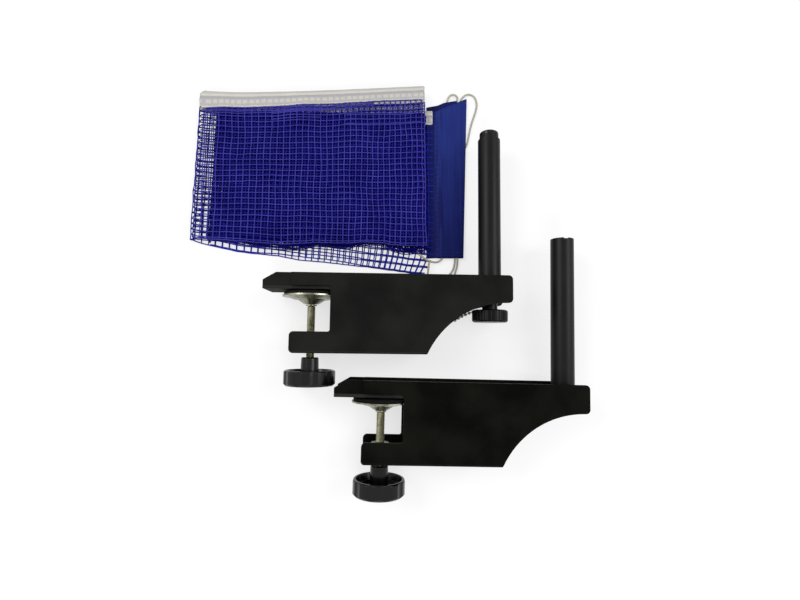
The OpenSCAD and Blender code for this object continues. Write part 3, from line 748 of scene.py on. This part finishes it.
def bandTape():
    look = Look("white band tape", {
        "Specular IOR Level": 0.2, "Sheen Weight": 0.05, "Sheen Roughness": 0.5})
    along = look.attribute("alongBand")
    across = look.attribute("acrossBand")
    wander = look.grain(120, 2) * band["wander"]
    half = band["cell"] / 2
    cells = ((along + wander).pingPong(half) / half).step(0.05, 0.5) * across.between(*stripes["cells"])
    # painted highlight: the bright line between the hem marks stands for light on the lower side of the rolled hem
    hem = 0.48 * (1 - across.step(*stripes["top"])) + 0.95 * across.between(*stripes["hem"])
    ground = across.step(*stripes["ground"]) * 0.3
    foot = across.step(*stripes["foot"]) * 0.45
    light = look.node("ShaderNodeClamp", inputs={"Value": cells * 0.4 + ground + hem + foot})
    warp = (along * (2 * math.pi / band["thread"])).sine()
    weave = warp * (across * (2 * math.pi * band["threads"])).sine()
    soil = look.grain(70, 4)
    tone = (light * 0.85 + soil * 0.3 - 0.1 + weave * 0.06).step(0.0, 1.0)
    return look.finish(
        colour=look.blend(tone, band["stripe"], band["colour"]),
        roughness=soil.spread(0.6, 0.85),
        normal=look.bump(cells * 0.7 + weave * 0.12 + soil * 0.15, band["relief"], 0.8))


# small capsules set end to end along lines of sewing
stitch = {"pitch": 0.0026, "length": 0.0017, "radius": 0.00021, "lift": 0.00012, "segments": 6, "rings": 4,
          "strand": 3000, "dim": 0.75, "white": (206, 205, 198), "blue": (24, 32, 92)}


def stitchMaker():
    maker = Maker("stitches", {key: stitch[key] for key in ("pitch", "length", "radius")})
    line = maker.node("GeometryNodeMeshToCurve", inputs={"Mesh": maker.source})
    spots = maker.node("GeometryNodeCurveToPoints", {"mode": "LENGTH"}, {
        "Curve": line, "Length": maker.size("pitch")})
    bead = maker.node("GeometryNodeMeshUVSphere", inputs={
        "Segments": stitch["segments"], "Rings": stitch["rings"], "Radius": 1.0})
    stretch = maker.node("ShaderNodeCombineXYZ", inputs={
        "X": maker.size("radius"), "Y": maker.size("radius"), "Z": maker.size("length") * 0.5})
    sewn = maker.node("GeometryNodeInstanceOnPoints", inputs={
        "Points": spots, "Instance": bead, "Rotation": spots.output("Rotation"), "Scale": stretch})
    return maker.close(sewn)


def threadLook(name, colour):
    look = Look(name, {"Specular IOR Level": 0.4})
    strand = look.grain(stitch["strand"], 2, stretch=(1, 4, 1))
    dim = [stitch["dim"] * light for light in paint(*colour)[:3]] + [1.0]
    return look.finish(
        colour=look.blend(strand, dim, colour),
        roughness=strand.spread(0.5, 0.8),
        normal=look.bump(strand, 0.00005, 0.6))


stitches = stitchMaker()


def makeBand():
    piece = addPiece("net_white_band", bandMesh())
    dressPiece(piece, setBody, "net_band", bandTape())
    steps = band["sewnSteps"]
    lift = Vector((0, 0, band["sewnLift"] + stitch["lift"]))
    rows = [[layerPoint(topLayer, i / steps, share * bandFoot(topLayer, i / steps)) + lift
             for i in range(steps + 1)] for share in band["sewnAt"]]
    sewing = stitches.make("net_band_stitches", linesOf("band_sewing", rows),
                           threadLook("white sewing thread", stitch["white"]))
    dressPiece(sewing, setBody)
    print("band and its stitches made")


makeBand()


# corners from the top left one clockwise, height above the floor, and how it is tucked under the net
sleeves = {
    "near": {"corners": [(0.0598, 0.182), (0.0932, 0.1963), (0.0868, 0.022), (0.0583, 0.022)],
             "low": 0.0014, "tall": 0.0028, "mouth": 0.0, "tuck": 0.0125, "tuckLow": 0.00105, "seed": 2.0,
             "colour": (32, 46, 116), "shade": (8, 14, 76)},
    # painted shade: the far sleeve is the inner ply, lying in shadow, so its tones are darker than the near
    # sleeve's
    "far": {"corners": [(0.0497, 0.1876), (0.0835, 0.1938), (0.0835, 0.023), (0.0525, 0.023)],
            "low": 0.00005, "tall": 0.00125, "mouth": 0.0034, "tuck": 0.0, "tuckLow": 0.0, "seed": 7.0,
            "colour": (14, 22, 84), "shade": (4, 8, 54)},
}
sleeveCloth = {"length": 0.172, "ply": 0.00034, "across": 26, "down": 70,
               "roundLeft": 0.12, "roundRight": 0.05,  # shares of the width over which the edges round off
               "wrinkle": 0.00032, "streak": (260, 9), "crease": (90, 26),
               "mouthDown": 0.1, "mouthFrom": 0.35, "mouthOver": 0.2,
               "tuckSteps": ((0.35, 0.6), (0.7, 0.15), (1.0, 0.0)), "tuckShrink": 0.3, "shrinkFrom": 0.85,
               "tuckEdge": 0.0592, "meshEdge": 0.069, "pressed": 0.006, "mesh": (0.0029, 0.0026),
               "thread": 0.00045, "relief": 0.00016,
               "hem": 0.006, "seam": 0.0042, "hemStitches": 10, "seamStitches": 30}


def sleeveRing(sleeve, v):
    cloth = sleeveCloth
    topLeft, topRight, footRight, footLeft = [Vector(corner) for corner in sleeve["corners"]]
    left, right = topLeft.lerp(footLeft, v), topRight.lerp(footRight, v)
    ply, half = cloth["ply"], sleeve["tall"] / 2
    middle = sleeve["low"] + half
    upper, lower = [], []
    for i in range(cloth["across"] + 1):
        u = i / cloth["across"]
        spot = left.lerp(right, u)
        full = min(1.0, (u / cloth["roundLeft"] + 0.02) ** 0.5)
        full *= min(1.0, ((1 - u) / cloth["roundRight"]) ** 0.5)
        rise = max(half * full, ply * 1.05) if u < 0.5 else half * full
        streak, crease = (noise.noise(Vector((spot.x * fineX, spot.y * fineY, sleeve["seed"] + draw)))
                          for (fineX, fineY), draw in ((cloth["streak"], 0), (cloth["crease"], 5)))
        dent = (0.6 * streak + 0.7 * crease) * cloth["wrinkle"] * full
        # the upper side is open where the cords come out
        gape = sleeve["mouth"] * max(0.0, 1 - v / cloth["mouthDown"])
        gape *= min(1.0, max(0.0, (u - cloth["mouthFrom"]) / cloth["mouthOver"])) * full
        upper.append(Vector((spot.x, spot.y, middle + rise + gape + min(0.0, dent) + 0.5 * dent)))
        lower.append(Vector((spot.x, spot.y, middle - rise)))
    # the sewn edge runs on between the net's two lowest layers
    for share, height in (cloth["tuckSteps"] if sleeve["tuck"] else ()):
        shrink = cloth["tuckShrink"] * max(0.0, (v - cloth["shrinkFrom"]) / (1 - cloth["shrinkFrom"]))
        away = left.x - sleeve["tuck"] * share * (1 - shrink)
        base = sleeve["tuckLow"] + (middle - sleeve["tuckLow"]) * height
        upper.insert(0, Vector((away, left.y, base + ply * 1.1)))
        lower.insert(0, Vector((away, left.y, base - ply * 1.1)))
    return upper + lower[::-1]


def sleeveMesh(name, sleeve):
    count = sleeveCloth["down"]
    rings = [sleeveRing(sleeve, i / count) for i in range(count + 1)]
    mesh = meshOf(name, [p for ring in rings for p in ring], faces=ringFaces(len(rings), len(rings[0])))
    outward(mesh, mergeWithin=1e-6)
    shadeSmooth(mesh)
    return mesh


def sleeveLook(name, sleeve):
    look = Look(name, {"Specular IOR Level": 0.08})
    parts = look.node("ShaderNodeSeparateXYZ", inputs={"Vector": look.place})
    x, y = parts.output("X"), parts.output("Y")
    waves = 2 * math.pi / sleeveCloth["thread"]
    weave = (x * waves).sine() * (y * waves).sine()
    streak = look.grain(1.0, 3, stretch=(420, 16, 60))
    cloud = look.grain(22, 3)
    # the net's meshes press through along the left edge, where painted shade darkens the creases, and painted
    # light makes the cloth lighter towards its top
    pressed = 1 - x.step(sleeveCloth["meshEdge"] - sleeveCloth["pressed"], sleeveCloth["meshEdge"])
    wide, tall = sleeveCloth["mesh"]
    lines = 1 - (y.pingPong(tall) / tall).step(0.0, 0.4) * (x.pingPong(wide) / wide).step(0.0, 0.4)
    # painted shade: dark streaks in the creases along the pressed left edge
    crease = look.grain(1.0, 2, stretch=(700, 22, 60)).step(0.42, 0.6) * pressed
    tone = (streak * 0.5 + cloud * 0.6 + weave * 0.05 + y.step(0.02, 0.2) * 0.3 + pressed * lines * 0.16
            - crease * 0.3).step(0.32, 1.08)
    # painted shade: left of the tuck edge the cloth lies under the net, and its tone is cut to a quarter there
    tucked = x.step(sleeveCloth["tuckEdge"] - 0.0015, sleeveCloth["tuckEdge"])
    height = weave * 0.15 + streak * 0.8 + cloud * 0.4 + pressed * lines
    return look.finish(
        colour=look.blend(tone * (0.25 + tucked * 0.75), sleeve["shade"], sleeve["colour"]),
        roughness=cloud.spread(0.42, 0.62),
        normal=look.bump(height, sleeveCloth["relief"], 0.6))


def makeSleeves():
    sewingLook = threadLook("blue sewing thread", stitch["blue"])
    for side, sleeve in sleeves.items():
        piece = addPiece(side + "_sleeve_cloth", sleeveMesh(side + "_sleeve_cloth", sleeve))
        wall = piece.modifiers.new("ply", "SOLIDIFY")
        wall.thickness = sleeveCloth["ply"]
        wall.offset = -1
        piece = settle(piece, side + "_sleeve_cloth")
        cloth = sleeveLook(side + " sleeve cloth", sleeve)
        dressPiece(piece, setBody, side + "_sleeve", cloth)
        topLeft, topRight, footRight, footLeft = [Vector(corner) for corner in sleeve["corners"]]
        high = sleeve["low"] + sleeve["tall"] + stitch["lift"] / 2
        hem, across, down = (sleeveCloth[key] for key in ("hem", "hemStitches", "seamStitches"))
        rows = []
        for start, end, turned in ((topLeft, topRight, -hem), (footLeft, footRight, hem)):
            rows.append([Vector((p.x, p.y + turned, high)) for p in (
                start.lerp(end, 0.14 + 0.8 * i / across) for i in range(across + 1))])
        rows.append([Vector((p.x + sleeveCloth["seam"], p.y, high)) for p in (
            topLeft.lerp(footLeft, 0.04 + 0.92 * i / down) for i in range(down + 1))])
        sewing = stitches.make(side + "_sleeve_stitches", linesOf(side + "_sewing", rows), sewingLook)
        dressPiece(sewing, setBody)
    print("sleeves sewn")


makeSleeves()


# where a finish is worn: its bare tone, and how much of it a speck or a scratch lets through
wear = {"paint": {"tone": (46, 46, 43), "speck": 0.2, "scratch": 0.1},
        "plastic": {"tone": (48, 49, 48), "scuff": 0.3}, "zinc": {"tone": (62, 60, 46), "brushed": 0.3}}
relief = {"paint": 0.00003, "plastic": 0.00002, "zinc": 0.00002, "rubber": 0.00006}


def paintedSteel(name, low, high, shine, gloss):
    look = Look(name, {"Specular IOR Level": gloss})
    cloud = look.grain(24, 4)
    peel = look.grain(1500, 2)
    speck = look.grain(900, 1).step(0.7, 0.76)
    scratch = look.grain(1.0, 3, stretch=(90, 900, 900)).step(0.68, 0.74)
    worn = speck * wear["paint"]["speck"] + scratch * wear["paint"]["scratch"]
    base = look.blend(cloud.step(0.3, 0.7), low, high)
    return look.finish(
        colour=look.blend(worn, base, wear["paint"]["tone"]),
        roughness=cloud.spread(*shine) + speck * 0.2,
        normal=look.bump(peel + cloud * 0.5, relief["paint"], 0.7))


def mouldedPlastic(name, low, high, shine, gloss):
    look = Look(name, {"Specular IOR Level": gloss})
    cloud = look.grain(60, 3)
    fine = look.grain(2600, 2)
    scuff = look.grain(420, 4, 0.7).step(0.66, 0.74)
    base = look.blend(cloud, low, high)
    return look.finish(
        colour=look.blend(scuff * wear["plastic"]["scuff"], base, wear["plastic"]["tone"]),
        roughness=cloud.spread(*shine) + scuff * 0.2,
        normal=look.bump(fine, relief["plastic"], 0.6))


def zincPlate(name, low, high, shine):
    look = Look(name, {"Metallic": 1.0})
    cloud = look.grain(150, 4)
    stain = look.grain(420, 3, 0.6)
    brushed = look.grain(1.0, 3, stretch=(300, 2600, 2600))
    worn = brushed.step(0.55, 0.8) * wear["zinc"]["brushed"]
    base = look.blend((cloud * 0.7 + stain * 0.3).step(0.3, 0.75), low, high)
    return look.finish(
        colour=look.blend(worn, base, wear["zinc"]["tone"]),
        roughness=cloud.spread(*shine),
        normal=look.bump(brushed, relief["zinc"], 0.6))


def softRubber(name, low, high):
    look = Look(name, {"Specular IOR Level": 0.08})
    cloud = look.grain(80, 3)
    pores = look.grain(2400, 3, 0.7)
    return look.finish(
        colour=look.blend(cloud * 0.6 + pores * 0.4, low, high),
        roughness=cloud.spread(0.7, 0.9),
        normal=look.bump(pores, relief["rubber"], 0.8))


blackPaint = {"plain": {"low": (4, 4, 3), "high": (17, 17, 14), "gloss": 0.025},
              "tension": {"low": (9, 10, 9), "high": (24, 25, 22), "gloss": 0.07},
              "post": {"low": (8, 8, 8), "high": (14, 15, 14), "gloss": 0.14}}
paintShine = (0.3, 0.46)
finishes = {
    "zinc": zincPlate("bright zinc plate", (96, 95, 80), (172, 172, 154), (0.16, 0.4)),
    "screw_zinc": zincPlate("dull zinc plate", (122, 121, 98), (172, 171, 144), (0.5, 0.66)),
    "black_plastic": mouldedPlastic("moulded black plastic", (3, 3, 3), (9, 10, 9), (0.12, 0.26), 0.24),
    "knurled_plastic": mouldedPlastic("knurled black plastic", (2, 2, 2), (5, 6, 5), (0.2, 0.34), 0.12),
    "black_rubber": softRubber("black rubber face", (8, 8, 9), (18, 18, 19)),
    "grey_pad": softRubber("grey jaw pad", (28, 29, 26), (44, 45, 41)),
}
for kind, tone in blackPaint.items():
    finishes[kind + "_paint"] = paintedSteel(kind + " satin black paint", tone["low"], tone["high"],
                                             paintShine, tone["gloss"])
print("finishes mixed")


# the finish that a node gets: black paint differs a little from clamp to clamp and on the posts
def finishFor(node, slot):
    if node == "tension_knob":
        return finishes["knurled_plastic"]
    if slot != "black_paint":
        return finishes[slot]
    kind = "post" if node.endswith("post") else node.split("_")[0]
    return finishes[kind + "_paint"]


rounding = {"merge": 2e-6, "flatWithin": 0.6, "sharpFrom": 28, "segments": 2, "smooth": 50}


# a copy of a CAD node, its flat faces joined again and its edges rounded
def softEdged(node, name, width, slot, body):
    shape = bmesh.new()
    shape.from_mesh(frame["nodes"][node].data)
    bmesh.ops.remove_doubles(shape, verts=shape.verts, dist=rounding["merge"])
    bmesh.ops.dissolve_limit(shape, angle_limit=math.radians(rounding["flatWithin"]),
                             verts=shape.verts, edges=shape.edges)
    sharpFrom = math.radians(rounding["sharpFrom"])
    sharp = [e for e in shape.edges if len(e.link_faces) == 2 and e.calc_face_angle() > sharpFrom]
    bmesh.ops.bevel(shape, geom=sharp, offset=width, offset_type="OFFSET", segments=rounding["segments"],
                    profile=0.5, affect="EDGES", clamp_overlap=True)
    bmesh.ops.recalc_face_normals(shape, faces=shape.faces)
    mesh = bpy.data.meshes.new(name)
    shape.to_mesh(mesh)
    shape.free()
    shadeSmooth(mesh, rounding["smooth"])
    piece = addPiece(name, mesh)
    piece.modifiers.new("even shading", "WEIGHTED_NORMAL").keep_sharp = True
    piece = settle(piece, name)
    dressPiece(piece, body, node, finishFor(node, slot))


# CAD node, rounding of its edges, finish and body
roundedNodes = {
    "bracket": ("folded_body", 0.00045, "black_paint", setBody),
    "jaw_channel": ("upper_jaw", 0.00045, "black_paint", setBody),
    "jaw_pad": ("jaw_cushion", 0.0004, "grey_pad", setBody),
    "post": ("post_tube", 0.0003, "black_paint", setBody),
    "screw_knob": ("fluted_knob", 0.0007, "black_plastic", "_screw"),
}
roundedPostNodes = {
    "inner_post": ("inner_post_tube", 0.0003, "black_paint", "raised_post"),
    "tension_knob": ("knurled_knob", 0.0003, "black_plastic", "tension_drive"),
}


def makeRounded():
    for clamp in clamps:
        for node, (name, width, slot, body) in roundedNodes.items():
            softEdged(clamp + "_" + node, clamp + "_" + name, width, slot,
                      clamp + body if body.startswith("_") else body)
    for node, (name, width, slot, body) in roundedPostNodes.items():
        softEdged(node, name, width, slot, body)
    print("rigid pieces rounded")


makeRounded()

screw = {"radius": 0.004, "pitch": 0.00125, "depth": 0.0006, "top": -0.0153, "foot": -0.0655, "sides": 28,
         "neck": 0.0026, "neckTop": 0.0032, "neckFlare": 0.0008, "ballRadius": 0.004, "ballZ": -0.0087,
         "ballAngles": (60, -45, -15), "headTop": -0.084, "headFoot": -0.0893, "headAcross": 0.013,
         "chamfer": 0.0006, "ringsPerTurn": 4, "smooth": 45}


# a revolved outline, given as radius and height from top to foot
def spun(outline, sides):
    shape = bmesh.new()
    rings = []
    for radius, height in outline:
        if radius < 1e-6:
            rings.append([shape.verts.new((0, 0, height))])
        else:
            rings.append([shape.verts.new((radius * math.cos(2 * math.pi * i / sides),
                                           radius * math.sin(2 * math.pi * i / sides), height))
                          for i in range(sides)])
    for upper, lower in zip(rings, rings[1:]):
        for i in range(sides):
            j = (i + 1) % sides
            corners = [ring[k % len(ring)] for ring, k in ((upper, i), (lower, i), (lower, j), (upper, j))]
            kept = [c for n, c in enumerate(corners) if c not in corners[:n]]
            shape.faces.new(kept)
    for ring in (rings[0], rings[-1]):
        if len(ring) > 1:
            shape.faces.new(ring)
    bmesh.ops.recalc_face_normals(shape, faces=shape.faces)
    return shape


# a rod whose wall is pushed in and out along a helix
def threadMaker():
    length = screw["top"] - screw["foot"]
    maker = Maker("screw thread", {**{key: screw[key] for key in ("radius", "pitch", "depth", "sides")},
                                   "length": length,
                                   "rings": round(length / screw["pitch"]) * screw["ringsPerTurn"]})
    rod = maker.node("GeometryNodeMeshCylinder", inputs={
        "Vertices": maker.size("sides"), "Side Segments": maker.size("rings"),
        "Radius": maker.size("radius"), "Depth": maker.size("length")})
    spot = maker.node("GeometryNodeInputPosition")
    parts = maker.node("ShaderNodeSeparateXYZ", inputs={"Vector": spot})
    x, y, z = (parts.output(axis) for axis in "XYZ")
    turn = x.maths("ARCTAN2", y, x) / (2 * math.pi)
    height = z / maker.size("pitch") - turn
    groove = height.pingPong(0.5) * 2 * maker.size("depth") / maker.size("radius")
    inward = maker.node("ShaderNodeCombineXYZ", inputs={"X": x * groove * -1, "Y": y * groove * -1})
    cut = maker.node("GeometryNodeSetPosition", inputs={"Geometry": rod, "Offset": inward})
    return maker.close(cut)


# the ball with its neck, the plain shank below the thread, and the hexagon head
def screwEnds():
    ball = [(screw["ballRadius"] * math.cos(math.radians(a)),
             screw["ballZ"] + screw["ballRadius"] * math.sin(math.radians(a)))
            for a in range(*screw["ballAngles"])]
    neck, radius, flat = screw["neck"], screw["radius"], screw["headAcross"] / 2
    corner = flat / math.cos(math.pi / 6)
    top, foot, headTop, headFoot = (screw[key] for key in ("top", "foot", "headTop", "headFoot"))
    return [
        spun([(0, ball[0][1])] + ball + [
            (neck, screw["ballZ"] - screw["neckTop"]), (neck, top + screw["neckFlare"]),
            (radius - screw["depth"], top), (0, top)], screw["sides"]),
        spun([(0, foot), (radius, foot), (radius, headTop), (0, headTop)], screw["sides"]),
        spun([(0, headTop), (corner, headTop), (corner, headFoot + screw["chamfer"]), (flat, headFoot),
              (0, headFoot)], 6)]


def makeScrews():
    maker = threadMaker()
    for clamp in clamps:
        mark = linesOf("thread_mark", [[Vector(), Vector((0, 0, screw["pitch"]))]])
        thread = maker.make(clamp + "_thread", mark, finishes["screw_zinc"])
        shape = bmesh.new()
        shape.from_mesh(thread.data)
        bmesh.ops.translate(shape, verts=shape.verts, vec=(0, 0, (screw["top"] + screw["foot"]) / 2))
        for end in screwEnds():
            part = bpy.data.meshes.new("end")
            end.to_mesh(part)
            end.free()
            shape.from_mesh(part)
            bpy.data.meshes.remove(part)
        place = clampPlace[clamp] @ Matrix.Translation((clampMarks["screwX"], 0, 0))
        bmesh.ops.transform(shape, matrix=place, verts=shape.verts)
        mesh = bpy.data.meshes.new(clamp + "_threaded_screw")
        shape.to_mesh(mesh)
        shape.free()
        shadeSmooth(mesh, screw["smooth"])
        bpy.data.objects.remove(thread)
        piece = addPiece(clamp + "_threaded_screw", mesh)
        dressPiece(piece, clamp + "_screw", clamp + "_clamp_screw", finishes["screw_zinc"])
    print("screws cut")


makeScrews()

chain = {"beads": 7, "radius": 0.0016, "centre": (0.1653, -0.0931), "sweep": 0.0804, "start": 105.5,
         "step": 2.9, "across": 0.0209, "link": 0.00045, "segments": 20, "rings": 12, "linkSides": 8}


def chainMaker():
    maker = Maker("bead chain", {"bead": chain["radius"], "link": chain["link"]})
    spots = maker.node("GeometryNodeMeshToPoints", inputs={"Mesh": maker.source})
    ball = maker.node("GeometryNodeMeshUVSphere", inputs={
        "Segments": chain["segments"], "Rings": chain["rings"], "Radius": maker.size("bead")})
    beads = maker.node("GeometryNodeInstanceOnPoints", inputs={"Points": spots, "Instance": ball})
    wire = maker.node("GeometryNodeMeshToCurve", inputs={"Mesh": maker.source})
    ring = maker.node("GeometryNodeCurvePrimitiveCircle", inputs={
        "Resolution": chain["linkSides"], "Radius": maker.size("link")})
    links = maker.sweep(wire, ring)
    joined = maker.node("GeometryNodeJoinGeometry")
    for shape in (beads, links):
        maker.tree.links.new(shape.socket, joined.socket.node.inputs[0])
    return maker.close(joined)


def makeChain():
    line = []
    for i in range(chain["beads"]):
        angle = math.radians(chain["start"] + i * chain["step"])
        line.append(clampPlace["tension"] @ Vector((
            chain["centre"][0] + chain["sweep"] * math.cos(angle), chain["across"],
            chain["centre"][1] + chain["sweep"] * math.sin(angle))))
    piece = chainMaker().make("tension_bead_chain", linesOf("chain_line", [line]), finishes["zinc"])
    dressPiece(piece, setBody, "bead_chain")
    print("bead chain strung")


makeChain()


# the CAD nodes that stay get their finish from the slot that the record gives them
def dressKeptNodes():
    slots = {part["node"]: part["material_slot"] for part in frame["record"]["subparts"]}
    for node, piece in frame["nodes"].items():
        if slots[node] in finishes or slots[node] == "black_paint":
            piece.data.materials.clear()
            piece.data.materials.append(finishFor(node, slots[node]))


dressKeptNodes()


studio = {"floor": 3.0, "floorColour": (247, 247, 247), "glow": 0.68, "world": 0.48, "drop": 0.00005,
          "lamps": {
              "left": {"place": (-1.1, 0.5, 1.25), "size": 0.9, "power": 13.5},
              "right": {"place": (1.2, 0.2, 1.1), "size": 0.8, "power": 10.0},
              "front": {"place": (0.1, -1.3, 1.0), "size": 0.9, "power": 10.0}}}


def seenRays(graph):
    rays = graph.node("ShaderNodeLightPath", output="Is Camera Ray")
    total = rays + rays.output("Is Glossy Ray") + rays.output("Is Transmission Ray")
    return graph.node("ShaderNodeClamp", inputs={"Value": total})


# an empty node tree of a material or a world
def emptyGraph(owner):
    owner.use_nodes = True
    owner.node_tree.nodes.clear()
    return Graph(owner.node_tree)


def makeFloor():
    half = studio["floor"]
    low = -studio["drop"]
    floor = addPiece("floor", meshOf("floor", [
        (-half, -half, low), (half, -half, low), (half, half, low), (-half, half, low)],
        faces=[(0, 1, 2, 3)]))
    material = bpy.data.materials.new("pale floor")
    graph = emptyGraph(material)
    matt = graph.node("ShaderNodeBsdfDiffuse", inputs={"Color": paint(*studio["floorColour"])})
    glow = graph.node("ShaderNodeEmission", inputs={"Color": (1, 1, 1, 1), "Strength": 1.0})
    mixed = graph.node("ShaderNodeMixShader", inputs={
        0: seenRays(graph) * studio["glow"], 1: matt, 2: glow})
    graph.node("ShaderNodeOutputMaterial", inputs={"Surface": mixed})
    floor.data.materials.append(material)


def makeLight():
    scene.world = bpy.data.worlds.new("studio")
    graph = emptyGraph(scene.world)
    soft, white = (graph.node("ShaderNodeBackground", inputs={"Color": (1, 1, 1, 1), "Strength": strength})
                   for strength in (studio["world"], 1.0))
    mixed = graph.node("ShaderNodeMixShader", inputs={0: seenRays(graph), 1: soft, 2: white})
    graph.node("ShaderNodeOutputWorld", inputs={"Surface": mixed})
    for name, lamp in studio["lamps"].items():
        data = bpy.data.lights.new(name, "AREA")
        data.size = lamp["size"]
        data.energy = lamp["power"]
        light = bpy.data.objects.new(name, data)
        scene.collection.objects.link(light)
        light.location = lamp["place"]
        light.rotation_euler = (-Vector(lamp["place"])).to_track_quat("-Z", "Y").to_euler()  # at the set


makeFloor()
makeLight()
scene.view_settings.view_transform = "Standard"
print("studio lit")
